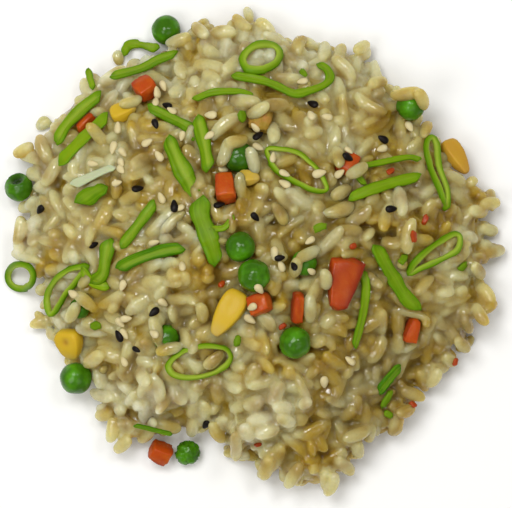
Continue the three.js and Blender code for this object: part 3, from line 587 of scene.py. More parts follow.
def pea_finish():
    """A cooked pea's skin."""
    shade = Finish("pea_skin")
    skin = settings().topping.pea
    clouds = shade.noise(4 * MM, detail=3)
    light = tuple(min(1, part * 2.6) for part in skin[:3]) + (1,)
    dark = tuple(part * 0.3 for part in skin[:3]) + (1,)
    colour = shade.mix(shade.ramp(clouds, 0.42, 0.72) * 0.75, tuple(skin), light)
    # the shade attribute darkens the skin: painted shade in a dent and on a pea deep in a hollow
    colour = shade.mix(shade.attribute("shade"), colour, dark)
    return shade.finish(
        specular_ior_level=0.08,
        base_color=colour,
        roughness=0.18 + clouds * 0.14,
        normal=shade.bump(shade.noise(1.5 * MM), 0.55, 0.3 * MM),
        subsurface_weight=0.3,
        subsurface_radius=(0.5, 1.0, 0.1),
        subsurface_scale=1.2 * MM,
        coat_weight=0.3,
        coat_roughness=0.05,
    )


def corn_finish():
    """A kernel's smooth skin, paler and duller towards its root."""
    shade = Finish("sweetcorn_skin")
    crown = tuple(settings().topping.corn)
    root = (0.48, 0.35, 0.07, 1)
    orange = (0.47, 0.235, 0.025, 1)
    dent_shade = (0.3, 0.13, 0.02, 1)
    clouds = shade.noise(3.5 * MM, detail=3)
    colour = shade.mix(shade.attribute("root"), crown, root)
    colour = shade.mix(shade.attribute("orange") * (0.5 + clouds * 0.6), colour, orange)
    # darker in a dented kernel's dent: painted shade
    colour = shade.mix(shade.attribute("dent_shade"), colour, dent_shade)
    return shade.finish(
        specular_ior_level=0.15,
        base_color=colour,
        roughness=0.42 + clouds * 0.14,
        normal=shade.bump(shade.noise(1.3 * MM), 0.15, 0.12 * MM),
        subsurface_weight=0.35,
        subsurface_radius=(1.0, 0.6, 0.1),
        subsurface_scale=1.2 * MM,
        coat_weight=0.06,
        coat_roughness=0.2,
    )


def carrot_finish():
    """Cooked carrot, moist and half clear, streaked along the root."""
    shade = Finish("cooked_carrot")
    orange = tuple(settings().topping.carrot)
    light = (0.52, 0.13, 0.008, 1)
    red = (0.24, 0.022, 0.004, 1)
    clouds = shade.noise(3 * MM, detail=4)
    cells = shade.noise(0.8 * MM, detail=3)
    colour = shade.mix(shade.ramp(clouds, 0.4, 0.75) * 0.6, orange, light)
    # the shade attribute mixes in dark red: partly the piece's own darker tone, partly painted shade
    # on one side and below
    colour = shade.mix(shade.attribute("shade"), colour, red)
    return shade.finish(
        specular_ior_level=0.1,
        base_color=colour,
        roughness=0.3 + cells * 0.25,
        normal=shade.bump(cells, 0.5, 0.25 * MM),
        subsurface_weight=0.5,
        subsurface_radius=(1.0, 0.35, 0.1),
        subsurface_scale=1.4 * MM,
        coat_weight=0.2,
        coat_roughness=0.15,
    )


def egg_finish():
    """Fried egg, golden with browned patches."""
    shade = Finish("fried_egg")
    golden = tuple(settings().topping.egg)
    browned = (0.42, 0.2, 0.05, 1)
    clouds = shade.noise(2.5 * MM, detail=4)
    colour = shade.mix(shade.ramp(clouds, 0.45, 0.7), golden, browned)
    return shade.finish(
        specular_ior_level=0.15,
        base_color=colour,
        roughness=0.4 + clouds * 0.2,
        normal=shade.bump(shade.noise(0.9 * MM, detail=3), 0.5, 0.3 * MM),
        subsurface_weight=0.3,
        subsurface_radius=(1.0, 0.7, 0.3),
        subsurface_scale=1.2 * MM,
    )


def scallion_finish():
    """A cut scallion leaf: streaked along its length, pale where it is cut open."""
    shade = Finish("scallion_leaf")
    topping = settings().topping
    bright = (0.15, 0.3, 0.004, 1)
    inside = (0.3, 0.4, 0.04, 1)
    edge = (0.04, 0.14, 0.001, 1)
    white = (0.5, 0.53, 0.36, 1)
    along = shade.node("ShaderNodeUVMap", uv_map="leaf")
    stretched = shade.vector("MULTIPLY", along, (0.3, 0.5, 1.0))
    streaks = shade.node("ShaderNodeTexNoise", {"Vector": stretched, "Scale": 3, "Detail": 3})
    clouds = shade.noise(4 * MM)
    ripeness = (shade.attribute("ripeness") + (clouds - 0.5) * 0.6).at_least(0).at_most(1)
    colour = shade.mix(ripeness, tuple(topping.leaf), tuple(topping.ripe_leaf))
    colour = shade.mix(shade.ramp(streaks, 0.45, 0.62) * 0.6, colour, bright)
    colour = shade.mix(shade.attribute("cut"), colour, inside)
    colour = shade.mix(shade.attribute("rim") * 0.6, colour, edge)
    colour = shade.mix(shade.attribute("white"), colour, white)
    return shade.finish(
        specular_ior_level=0.06,
        base_color=colour,
        roughness=0.26 + streaks * 0.16,
        normal=shade.bump(streaks, 0.45, 0.2 * MM),
        subsurface_weight=0.35,
        subsurface_radius=(0.6, 1.0, 0.15),
        subsurface_scale=1.2 * MM,
    )


def seed_finish(name, colour, other, roughness):
    """A sesame seed's dry skin."""
    shade = Finish(name)
    clouds = shade.noise(1.2 * MM, detail=3)
    return shade.finish(
        base_color=shade.mix(clouds, colour, other),
        specular_ior_level=0.12,
        roughness=roughness + clouds * 0.15,
        normal=shade.bump(shade.noise(0.5 * MM), 0.2, 0.1 * MM),
        subsurface_weight=0.15,
        subsurface_radius=(1.0, 0.8, 0.5),
        subsurface_scale=0.6 * MM,
    )


# ------------------------------------------------------------------ meshes


def made_object(name, mesh):
    """Links a mesh to the scene as an object."""
    made = bpy.data.objects.new(name, mesh)
    bpy.context.scene.collection.objects.link(made)
    return made


def dress(piece, material, nodes=()):
    """Gives a piece its material, its body and the nodes it stands for."""
    if material is not None:
        piece.data.materials.clear()
        piece.data.materials.append(material)
    for polygon in piece.data.polygons:
        polygon.use_smooth = True
    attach(piece, "root")
    if nodes:
        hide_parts(*nodes)
    return piece


def keep_values(mesh, key, values):
    """Stores a number for each vertex of a mesh."""
    layer = mesh.attributes.new(key, "FLOAT", "POINT")
    layer.data.foreach_set("value", np.asarray(values, np.float32))


def joined_mesh(name, parts):
    """One mesh of several: each part is (vertices, faces, {attribute: values})."""
    vertices, faces, attributes = [], [], {}
    for part_vertices, part_faces, part_attributes in parts:
        start = len(vertices)
        vertices += [tuple(vertex) for vertex in part_vertices]
        faces += [tuple(start + corner for corner in face) for face in part_faces]
        for key, values in part_attributes.items():
            attributes.setdefault(key, []).extend(values)
    mesh = bpy.data.meshes.new(name)
    mesh.from_pydata(vertices, [], faces)
    for key, values in attributes.items():
        keep_values(mesh, key, values)
    mesh.update()
    return mesh


def joined_piece(name, parts, material, nodes):
    """One dressed piece of several parts."""
    return dress(made_object(name, joined_mesh(name, parts)), material, nodes)


def vertices_and_faces(shape):
    """What a bmesh holds. Frees it."""
    shape.verts.index_update()
    vertices = [vertex.co.copy() for vertex in shape.verts]
    faces = [[corner.index for corner in face.verts] for face in shape.faces]
    shape.free()
    return vertices, faces


def ball():
    """Vertices and faces of a finely cut ball of radius 1."""
    shape = bmesh.new()
    bmesh.ops.create_icosphere(shape, subdivisions=4, radius=1)
    return vertices_and_faces(shape)


def block(cuts):
    """Vertices and faces of a cube of side 2, cut into a grid."""
    shape = bmesh.new()
    bmesh.ops.create_cube(shape, size=2)
    bmesh.ops.subdivide_edges(shape, edges=shape.edges, cuts=cuts, use_grid_fill=True)
    return vertices_and_faces(shape)


def within(value):
    """The value, kept between 0 and 1."""
    return min(1.0, max(0.0, value))


# ------------------------------------------------------------------ the heap seen as heights


class Heights:
    """Heights over a square grid of small cells, as seen from straight above."""

    cell = 0.35 * MM
    half = 66 * MM

    def __init__(self):
        self.count = int(2 * self.half / self.cell) + 1
        self.axis = np.linspace(-self.half, self.half, self.count)
        self.cell = self.axis[1] - self.axis[0]

    def cast(self, nodes, downward=True):
        """Highest face of the nodes over each cell, or the lowest from below. NaN beside them."""
        tree = tree_of(frame["nodes"][node].data for node in nodes)
        found = np.full((self.count, self.count), np.nan)
        start = HIGH_UP if downward else -HIGH_UP
        direction = Vector((0, 0, -1 if downward else 1))
        reach = self.half * 0.99
        for row, y in enumerate(self.axis):
            width = math.sqrt(max(0.0, reach * reach - y * y))
            for column in np.flatnonzero(np.abs(self.axis) <= width):
                place = tree.ray_cast(Vector((self.axis[column], y, start)), direction)[0]
                if place is not None:
                    found[row, column] = place.z
        return found

    def index(self, value):
        """The row or column of a place along an axis, as a fraction."""
        return (value + self.half) / self.cell

    def sample(self, grid, x, y):
        """The grid's value at one place."""
        row = int(np.clip(round(self.index(y)), 0, self.count - 1))
        column = int(np.clip(round(self.index(x)), 0, self.count - 1))
        return float(grid[row, column])

    def patch(self, x, y, radius):
        """Slices round a place, and the cells' offsets from it."""
        rows = slice(max(0, int(self.index(y - radius))), int(self.index(y + radius)) + 2)
        columns = slice(max(0, int(self.index(x - radius))), int(self.index(x + radius)) + 2)
        across, away = np.meshgrid(self.axis[columns] - x, self.axis[rows] - y)
        return (rows, columns), across, away


def tree_of(meshes):
    """A tree for casting rays at some meshes."""
    vertices, faces = [], []
    for mesh in meshes:
        start = len(vertices)
        vertices += [tuple(vertex.co) for vertex in mesh.vertices]
        faces += [tuple(start + i for i in polygon.vertices) for polygon in mesh.polygons]
    return BVHTree.FromPolygons(vertices, faces)


def seen_from_above(tree, x, y):
    """Where a ray straight down meets the tree, or None."""
    return tree.ray_cast(Vector((x, y, HIGH_UP)), Vector((0, 0, -1)))[0]


def blurred(grid, cells):
    """The grid smoothed over that many cells, by repeated running means."""
    kernel = np.ones(2 * cells + 1) / (2 * cells + 1)
    for _ in range(3):
        grid = np.apply_along_axis(np.convolve, 0, grid, kernel, "same")
        grid = np.apply_along_axis(np.convolve, 1, grid, kernel, "same")
    return grid


def lowest_near(grid, cells):
    """The lowest value within that many cells."""
    for axis in (0, 1):
        grid = np.min([np.roll(grid, shift, axis) for shift in range(-cells, cells + 1)], axis=0)
    return grid


def highest_near(grid, cells):
    """The highest value within that many cells."""
    return -lowest_near(-grid, cells)


class Heap:
    """Lays grains one by one where the heap still lacks height, and keeps its heights."""

    clump_size = 9 * MM
    clump_depth = 2 * MM
    least_over_core = 3 * MM
    into_underside = 0.2 * MM

    def __init__(self):
        rice = settings().rice
        self.rice = rice
        self.random = np.random.default_rng(rice.seed)
        self.map = Heights()
        toppings = [node for node in frame["nodes"] if node != RICE_NODE]
        solid = self.map.cast([RICE_NODE])
        self.inside = np.isfinite(solid)
        solid = np.where(self.inside, solid, 0.0)
        weight = blurred(self.inside.astype(float), 3)
        self.target = np.where(self.inside, blurred(solid, 3) / np.maximum(weight, 0.05), 0.0)
        self.target -= self.clumps() * self.clump_depth
        for x, y, radius, deeper in HOLLOWS:
            px, py = spot(x, y)
            window, across, away = self.map.patch(px, py, 2.2 * radius * MM)
            near = np.exp(-(across ** 2 + away ** 2) / (0.7 * radius * MM) ** 2)
            self.target[window] = np.maximum(self.target[window] - deeper * MM * near, 0)
        self.ceiling = np.nan_to_num(self.map.cast(toppings, downward=False), nan=1.0)
        self.topping_top = np.nan_to_num(self.map.cast(toppings), nan=0.0)
        # Beside a topping the rice comes up as high as the rice round it.
        covered = (self.topping_top > 0).astype(float)
        beside = self.inside & (highest_near(covered, 4) > 0) & (covered == 0)
        self.target = np.where(beside, highest_near(self.target, 4), self.target)
        self.core = np.maximum(lowest_near(self.target, 9) - rice.depth, 0.0)
        highest_core = np.maximum(self.target - self.least_over_core, 0)
        self.core = np.minimum(blurred(self.core, 4), highest_core)
        self.top = self.core.copy()
        self.grains = []

    def clumps(self):
        """How far the rice lies below its clumps' tops, from 0 to 1 over the grid."""
        scale = 1 / self.clump_size
        waves = [
            [noise.noise(Vector((x * scale, y * scale, 4))) for x in self.map.axis]
            for y in self.map.axis
        ]
        return np.where(self.inside, np.clip(0.4 + np.array(waves) * 1.2, 0, 1), 0)

    # A grain is a dict: x, y, z, yaw, slope, length, width, thickness, curl, roll, tint.

    def footprint(self, x, y, yaw, length, width, thickness):
        """Cells under a grain, how far along it each lies, and the half thickness there."""
        window, across, away = self.map.patch(x, y, length * 0.55)
        along = across * math.cos(yaw) + away * math.sin(yaw)
        sideways = away * math.cos(yaw) - across * math.sin(yaw)
        inner = 1 - (2 * along / length) ** 2 - (2 * sideways / width) ** 2
        cells = inner > 0
        return window, cells, along[cells], 0.5 * thickness * np.sqrt(inner[cells])

    def resting(self, under, along, bulge, length):
        """Height and slope at which a grain lies on what is under it."""
        bins = 10
        which = np.minimum(((along / length + 0.5) * bins).astype(int), bins - 1)
        support = np.full(bins, -1.0)
        np.maximum.at(support, which, under + bulge)
        middle = ((np.arange(bins) + 0.5) / bins - 0.5) * length
        used = support > -0.5
        left, right = used & (middle < 0), used & (middle > 0)
        if not left.any() or not right.any():
            return float((under + bulge).max()), 0.0
        a, b = middle[left][:, None], middle[right][None, :]
        p, q = support[left][:, None], support[right][None, :]
        level = (p * b - q * a) / (b - a)
        row, column = np.unravel_index(np.argmax(level), level.shape)
        slope = (q[0, column] - p[row, 0]) / (b[0, column] - a[row, 0])
        slope = float(np.clip(slope, -1.1, 1.1))
        return float((support[used] - slope * middle[used]).max()), slope

    def tried(self, x, y, yaw, length, width, thickness):
        """How a grain would lie there, with a score: lower fits the heap's form better."""
        window, cells, along, bulge = self.footprint(x, y, yaw, length, width, thickness)
        if not cells.any():
            return None
        under = self.top[window][cells]
        z, slope = self.resting(under, along, bulge, length)
        z -= self.rice.sunk
        upper = z + slope * along + bulge
        wanted = self.target[window][cells]
        outside = 1 - self.inside[window][cells].mean()
        hidden = (upper > self.ceiling[window][cells] + 0.3 * MM).mean()
        before, after = np.abs(wanted - under).mean(), np.abs(wanted - upper).mean()
        # To hang out over the rim or to hide a topping counts against a place.
        score = after - before + 12 * MM * max(0.0, outside - 0.04) + 10 * MM * hidden
        return score, z, slope, (window, cells, upper)

    def keep(self, x, y, z, yaw, slope, size, mark, **look):
        """Adds a grain and raises the heights under it."""
        window, cells, upper = mark
        patch = self.top[window]
        patch[cells] = np.maximum(patch[cells], upper)
        length, width, thickness = size
        tilt = math.atan(slope)
        half_height = math.hypot(length / 2 * math.sin(tilt), thickness / 2 * math.cos(tilt))
        z = max(z, half_height - self.into_underside)
        grain = dict(x=x, y=y, z=z, yaw=yaw, slope=slope, length=length, width=width)
        grain.update(thickness=thickness, curl=0.0, roll=0.0, taper=0.0, tint=0.4)
        grain.update(look)
        self.grains.append(grain)

    def random_size(self):
        """A grain's length, width and thickness. Some grains are broken."""
        rice, draw = self.rice, self.random
        length = rice.length * (1 + 0.16 * draw.normal()) * (0.62 if draw.random() < 0.1 else 1)
        length = float(np.clip(length, 0.5 * rice.length, 1.4 * rice.length))
        width = rice.width * (1 + 0.08 * draw.normal())
        thickness = rice.thickness * (1 + 0.08 * draw.normal())
        return length, width, thickness

    def random_look(self):
        """How a grain bends, how far it is rolled over and how it narrows."""
        draw = self.random
        return {
            "curl": float(0.055 * draw.normal()),
            "roll": float(0.5 * draw.normal()),
            "taper": float(0.12 * draw.normal()),
        }

    def tint(self, x, y, z):
        """A grain's tint: higher where it lies deeper, as painted shade, and following the patches
        of paler and darker rice.
        """
        depth = (self.map.sample(self.target, x, y) - z) / MM
        patch = patch_tint(x, y)
        patch = min(patch, 0.35 * patch)  # above 0 only a share goes to the tint, and the rest is painted shade over the skin
        return float(np.clip(0.4 + 0.1 * depth + patch + 0.1 * self.random.normal(), -0.8, 2))

    def fill(self, least, tries, share, gain):
        """Lays grains where the heap lacks most height, until it lacks less than the least.

        Each is the best of some tries, at a share of the usual length, and has to bring the
        heap nearer its form by more than the gain.
        """
        closed = ~self.inside
        while len(self.grains) < self.rice.most:
            lack = np.where(closed, -1.0, self.target - self.top)
            row, column = np.unravel_index(np.argmax(lack), lack.shape)
            if lack[row, column] < least:
                break
            best = None
            for _ in range(tries):
                size = self.random_size()
                size = (size[0] * share, size[1], size[2])
                yaw = self.random.random() * math.pi
                shift = (self.random.random(2) - 0.5) * size[0] * 0.5
                x, y = self.map.axis[column] + shift[0], self.map.axis[row] + shift[1]
                found = self.tried(x, y, yaw, *size)
                if found and (best is None or found[0] < best[0][0]):
                    best = (found, x, y, yaw, size)
            if best is None or best[0][0] > -gain:
                middle = self.map.axis[column], self.map.axis[row]
                window, across, away = self.map.patch(*middle, 1 * MM)
                closed[window] |= across ** 2 + away ** 2 < (0.8 * MM) ** 2
                continue
            (_, z, slope, mark), x, y, yaw, size = best
            look = self.random_look()
            self.keep(x, y, z, yaw, slope, size, mark, tint=self.tint(x, y, z), **look)

    def pack_body(self):
        """Raises the core to just under the tops of the grains, as rice that sticks together."""
        body = blurred(self.top, 2) - self.rice.relief
        x, y = np.meshgrid(self.map.axis, self.map.axis)
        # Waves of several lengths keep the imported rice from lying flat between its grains.
        waves = np.sin(x / (2.3 * MM) + 2 * np.sin(y / (3.1 * MM)))
        waves = waves * np.sin(y / (2.7 * MM) + 2 * np.sin(x / (3.7 * MM)))
        body += 0.45 * MM * waves
        near_rim = lowest_near(self.inside.astype(float), 5)
        self.core = np.where(near_rim > 0, np.maximum(self.core, body), self.core)
        self.core = np.minimum(self.core, np.maximum(self.ceiling - 0.2 * MM, 0))

    def sorted_out(self, share):
        """Parts the uncovered grains that lie free, in about that share, from all others."""
        free, stuck = [], []
        for grain in self.grains:
            place = grain["x"], grain["y"], grain["yaw"]
            size = grain["length"], grain["width"], grain["thickness"]
            window, cells, along, bulge = self.footprint(*place, *size)
            upper = grain["z"] + grain["slope"] * along + bulge
            open_share = (self.top[window][cells] < upper + 0.1 * MM).mean()
            lies_free = open_share > 0.8 and self.random.random() < share
            (free if lies_free else stuck).append(grain)
        return free, stuck

    def add_toppings(self):
        """Counts the toppings in the heights, for what lies on them."""
        self.top = np.maximum(self.top, self.topping_top)

    def lay_rim(self):
        """Lays grains that point outwards from under the heap's rim."""
        beside = highest_near(self.topping_top, 11)
        angle = 0.0
        while angle < math.tau:
            ahead = Vector((math.cos(angle), math.sin(angle)))
            reach = self.map.half
            while reach > 0 and not self.map.sample(self.inside, *(ahead * reach)):
                reach -= self.map.cell
            angle += self.random.uniform(4, 9) * MM / max(reach, 20 * MM)
            if self.map.sample(beside, *(ahead * reach)) > 0:
                continue
            place = (ahead * (reach - self.random.uniform(1.4, 3.2) * MM) - SHIFT) / MM
            heading = math.degrees(angle) + 45 * self.random.normal()
            length = self.random.uniform(5.5, 8.5)
            curl = 0.04 * self.random.normal()
            self.lay(*place, heading, length, 3.4, 2.8, curl, 0.2 * self.random.random())

    def lay(self, x, y, degrees, length, width, thickness, curl, tint):
        """Lays one grain on whatever is there. Its lengths are in millimetres."""
        yaw = math.radians(degrees)
        x, y = spot(x, y)
        length, width, thickness = length * MM, width * MM, thickness * MM
        window, cells, along, bulge = self.footprint(x, y, yaw, length, width, thickness)
        z, slope = self.resting(self.top[window][cells], along, bulge, length)
        z -= self.rice.sunk
        mark = (window, cells, z + slope * along + bulge)
        size = (length, width, thickness)
        self.keep(x, y, z, yaw, slope, size, mark, curl=curl, tint=tint)


@functools.cache
def heap():
    """The heap's heights, made once."""
    return Heap()


def grain_turn(grain):
    """The rotation that lays a grain along its direction and slope, rolled about its length."""
    yaw, slope = grain["yaw"], grain["slope"]
    ahead = Vector((math.cos(yaw), math.sin(yaw), slope)).normalized()
    upward = Vector((0, 0, 1)) - ahead * ahead.z
    side = upward.normalized().cross(ahead)
    matrix = Matrix((ahead, side, ahead.cross(side))).transposed()
    return matrix.to_quaternion() @ Quaternion((1, 0, 0), grain["roll"])


# ------------------------------------------------------------------ sown grains and seeds


def kernel_tree():
    """A node tree that puts one kernel, bent and lumpy in its own way, on each point."""
    tree = bpy.data.node_groups.new("Sown kernels", "GeometryNodeTree")
    tree.is_modifier = True
    for name, kind in (
        ("Geometry", "Geometry"), ("Sides", "Int"), ("Rings", "Int"), ("Bluntness", "Float"),
        ("Lumps", "Float"), ("Finish", "Material"),
    ):
        tree.interface.new_socket(name, in_out="INPUT", socket_type="NodeSocket" + kind)
    tree.interface.new_socket("Geometry", in_out="OUTPUT", socket_type="NodeSocketGeometry")
    build = Tree(tree)
    entry = tree.nodes.new("NodeGroupInput")
    given = {socket.name: Socket(build, socket) for socket in entry.outputs if socket.name}

    def named(name, kind):
        return build.node("GeometryNodeInputNamedAttribute", {"Name": name}, data_type=kind)

    def stored(geometry, name, value, kind):
        values = {"Geometry": geometry, "Name": name, "Value": value}
        return build.node("GeometryNodeStoreNamedAttribute", values, data_type=kind, domain="POINT")

    values = {"Segments": given["Sides"], "Rings": given["Rings"], "Radius": 1.0}
    sphere = build.node("GeometryNodeMeshUVSphere", values)
    values = {"Geometry": sphere, "Rotation": (0, math.pi / 2, 0)}
    lying = build.node("GeometryNodeTransform", values)
    position = build.node("GeometryNodeInputPosition")
    marked = stored(lying, "own_place", position, "FLOAT_VECTOR")
    values = {"Points": given["Geometry"], "Instance": marked}
    copies = build.node("GeometryNodeInstanceOnPoints", values)
    real = build.node("GeometryNodeRealizeInstances", {"Geometry": copies})

    own, middle = named("own_place", "FLOAT_VECTOR"), named("middle", "FLOAT_VECTOR")
    split = build.node("ShaderNodeSeparateXYZ", {0: own}).socket.node
    x, y, z = (Socket(build, output) for output in split.outputs)
    power = given["Bluntness"]
    girth = ((1 - abs(x) ** power).at_least(0) ** (1 / power))
    girth = girth / ((1 - x * x).at_least(0.0001) ** 0.5) * (1 + named("taper", "FLOAT") * x)
    lump_place = build.vector(
        "ADD", build.vector("SCALE", own, 0.9), build.vector("SCALE", middle, 700.0)
    )
    lump = build.node("ShaderNodeTexNoise", {"Vector": lump_place, "Scale": 1.0, "Detail": 1.0})
    swell = girth * (1 + (lump - 0.5) * given["Lumps"])
    longer = 1 + (lump - 0.5) * given["Lumps"] * 0.5
    formed = build.node("ShaderNodeCombineXYZ", {0: x * longer, 1: y * swell, 2: z * swell})
    sized = build.vector("MULTIPLY", formed, named("size", "FLOAT_VECTOR"))
    sideways = named("curl", "FLOAT") * (x * x - 0.4)
    curled = build.vector("ADD", sized, build.node("ShaderNodeCombineXYZ", {1: sideways}))
    turned = build.node("FunctionNodeRotateVector", {0: curled, 1: named("turn", "QUATERNION")})
    values = {"Geometry": real, "Position": build.vector("ADD", middle, turned)}
    placed = build.node("GeometryNodeSetPosition", values)
    normal = build.node("GeometryNodeInputNormal")
    facing = build.vector("DOT_PRODUCT", normal, (0, 0, 1), output=1)
    faced = stored(placed, "upward", facing.at_least(0), "FLOAT")
    smooth = build.node("GeometryNodeSetShadeSmooth", {0: faced})
    values = {"Geometry": smooth, "Material": given["Finish"]}
    dressed = build.node("GeometryNodeSetMaterial", values)
    build.node("NodeGroupOutput", {0: dressed})
    return tree


KERNEL_LAYERS = (  # name, kind, field: in the order of a kernel's values
    ("middle", "FLOAT_VECTOR", "vector"), ("turn", "QUATERNION", "value"),
    ("size", "FLOAT_VECTOR", "vector"), ("curl", "FLOAT", "value"),
    ("tint", "FLOAT", "value"), ("taper", "FLOAT", "value"),
)


def sown(name, kernels, material, form):
    """One mesh of all kernels: each is (middle, turn, half sizes, curl, tint, taper)."""
    points = bpy.data.meshes.new(name + "_points")
    points.from_pydata([tuple(kernel[0]) for kernel in kernels], [], [])
    for index, (layer, kind, field) in enumerate(KERNEL_LAYERS):
        values = [
            kernel[index] if kind == "FLOAT" else tuple(kernel[index]) for kernel in kernels
        ]
        data = points.attributes.new(layer, kind, "POINT").data
        data.foreach_set(field, np.asarray(values, np.float32).ravel())
    carrier = made_object(name + "_points", points)
    tree = bpy.data.node_groups.get("Sown kernels") or kernel_tree()
    modifier = carrier.modifiers.new("Sown", "NODES")
    modifier.node_group = tree
    inputs = {
        item.name: item.identifier
        for item in tree.interface.items_tree if item.in_out == "INPUT"
    }
    for key, value in {**form, "Finish": material}.items():
        modifier[inputs[key]] = value
    graph = bpy.context.evaluated_depsgraph_get()
    mesh = bpy.data.meshes.new_from_object(carrier.evaluated_get(graph))
    mesh.name = name
    for layer in ("own_place", "middle", "turn", "size", "curl", "taper"):
        if layer in mesh.attributes:
            mesh.attributes.remove(mesh.attributes[layer])
    carrier.modifiers.clear()
    bpy.data.objects.remove(carrier)
    bpy.data.meshes.remove(points)
    return made_object(name, mesh)


GRAIN_FORM = {"Sides": 10, "Rings": 8, "Bluntness": 2.35, "Lumps": 0.3}
SEED_FORM = {"Sides": 10, "Rings": 8, "Bluntness": 2.0, "Lumps": 0.1}


def kernels_of(grains):
    """The grains as kernels to sow."""
    kernels = []
    for grain in grains:
        half = (grain["length"] / 2, grain["width"] / 2, grain["thickness"] / 2)
        middle = (grain["x"], grain["y"], grain["z"])
        curl = grain["curl"] * grain["length"]
        kernels.append((middle, grain_turn(grain), half, curl, grain["tint"], grain["taper"]))
    return kernels


# ------------------------------------------------------------------ pieces


def core_part():
    """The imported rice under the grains, as rings from its middle to its rim."""
    grid, rings, sectors = heap(), 90, 240
    step = 0.5 * MM
    reach = []
    for sector in range(sectors):
        angle = sector / sectors * math.tau
        steps = np.arange(0, grid.map.half, step)
        values = [
            grid.map.sample(grid.core, s * math.cos(angle), s * math.sin(angle)) for s in steps
        ]
        reach.append(max(s for s, value in zip(steps, values) if value > step))
    vertices, faces = [(0, 0, grid.map.sample(grid.core, 0, 0)), (0, 0, 0)], []
    for ring in range(1, rings + 1):
        for sector in range(sectors):
            angle = sector / sectors * math.tau
            distance = reach[sector] * ring / rings
            x, y = distance * math.cos(angle), distance * math.sin(angle)
            z = grid.map.sample(grid.core, x, y) if ring < rings else 0.0
            vertices.append((x, y, z))
    for sector in range(sectors):
        other = (sector + 1) % sectors
        faces.append((0, 2 + sector, 2 + other))
        last = 2 + (rings - 1) * sectors
        faces.append((1, last + other, last + sector))
        for ring in range(rings - 1):
            inner, outer = 2 + ring * sectors, 2 + (ring + 1) * sectors
            faces.append((inner + sector, outer + sector, outer + other, inner + other))
    return vertices, faces, {}


def bake_modifiers(piece):
    """Puts what a piece's modifiers make of it in its mesh."""
    graph = bpy.context.evaluated_depsgraph_get()
    made = bpy.data.meshes.new_from_object(piece.evaluated_get(graph))
    piece.modifiers.clear()
    old, piece.data = piece.data, made
    bpy.data.meshes.remove(old)
    made.name = piece.name


def stuck_together(name, grains, material):
    """One skin over the core and the grains, joined where they touch.

    Its attributes are tint, upward, deep for sauce and painted shade in the gaps, and one for the
    painted shade over the darker patches.
    """
    sticks = sown(name + "_grains", kernels_of(grains), material, GRAIN_FORM)
    mesh = sticks.data
    each = len(mesh.polygons) // len(grains)
    near = tree_of([mesh])
    corners = [tuple(vertex.co) for vertex in mesh.vertices]
    sides = [tuple(polygon.vertices) for polygon in mesh.polygons]
    whole = made_object(name, joined_mesh(name, [(corners, sides, {}), core_part()]))
    bpy.data.objects.remove(sticks)
    remesh = whole.modifiers.new("Stuck", "REMESH")
    remesh.mode = "VOXEL"
    remesh.voxel_size = settings().rice.voxel
    smooth = whole.modifiers.new("Soft", "SMOOTH")
    smooth.factor, smooth.iterations = 0.5, 1
    bake_modifiers(whole)
    thin = whole.modifiers.new("Thinned", "DECIMATE")
    thin.ratio = min(1.0, settings().rice.facets / (2 * len(whole.data.polygons)))
    bake_modifiers(whole)
    skin = whole.data
    grid = heap()
    values = {"tint": [], "upward": [], "deep": [], "painted_shade": []}
    for vertex in skin.vertices:
        x, y, z = vertex.co
        face, distance = near.find_nearest(vertex.co)[2:]
        # the skin away from every grain, between them, is painted tanner: sauce and painted shade
        # between the grains
        between = min(1.0, distance / (0.5 * MM))
        values["tint"].append(grains[face // each]["tint"] + 0.25 * between)
        values["upward"].append(max(0.0, vertex.normal.z))
        # deep: the skin below the smoothed top, in the gaps, takes sauce and painted shade
        below = grid.map.sample(grid.smooth_top, x, y) - z
        inland = within((below + z) / (5 * MM) - 1)
        # above 0 a patch is also painted as shade, and the same amount deepens the painted shade in
        # the gaps below
        sauced_and_shaded = 1 + patch_tint(x, y)
        values["painted_shade"].append(within(sauced_and_shaded - 1))
        sauced_and_shaded *= within((z - 2 * MM) / (6 * MM))
        depth = max(0.0, below / (1.8 * MM) - 0.2)
        values["deep"].append(min(1.0, depth * inland * max(0.0, sauced_and_shaded)))
    for key in values:
        keep_values(skin, key, values[key])
    return whole


class HEAP_OT_rice(bpy.types.Operator):
    """Lays the rice: a mass that sticks together, with loose grains on it."""

    bl_idname = "heap.rice"
    bl_label = "Rice"

    def execute(self, context):
        grid = heap()
        grid.fill(least=1.0 * MM, tries=9, share=1.0, gain=0.1 * MM)
        grid.fill(least=1.6 * MM, tries=14, share=0.65, gain=0.0)
        if len(grid.grains) < 300:
            raise RuntimeError("too few grains were laid")
        material = rice_finish("sticky_rice", 12 * MM)
        grid.lay_rim()
        for row in LAID_GRAINS:
            grid.lay(*row)
        free, stuck = grid.sorted_out(share=0.05)
        grid.smooth_top = blurred(grid.top, 4)
        grid.pack_body()
        grid.add_toppings()
        laid = len(grid.grains)
        for row in COVERING_GRAINS:
            grid.lay(*row)
        stuck += grid.grains[laid:]
        mass = stuck_together("rice_mass", stuck, material)
        dress(mass, material, [RICE_NODE])
        material = rice_finish("loose_rice", 6 * MM)
        loose = sown("loose_grains", kernels_of(free), material, GRAIN_FORM)
        dress(loose, None)
        return {"FINISHED"}


def leaned(x, y, z, degrees):
    """Places a piece: turned about Z, leaning with the heap, with its middle at that height."""
    normal = heap_normal(x, y)
    lean = Vector((0, 0, 1)).rotation_difference(normal).to_matrix().to_4x4()
    turn = Matrix.Rotation(math.radians(degrees), 4, "Z")
    return Matrix.Translation((x, y, z)) @ lean @ turn


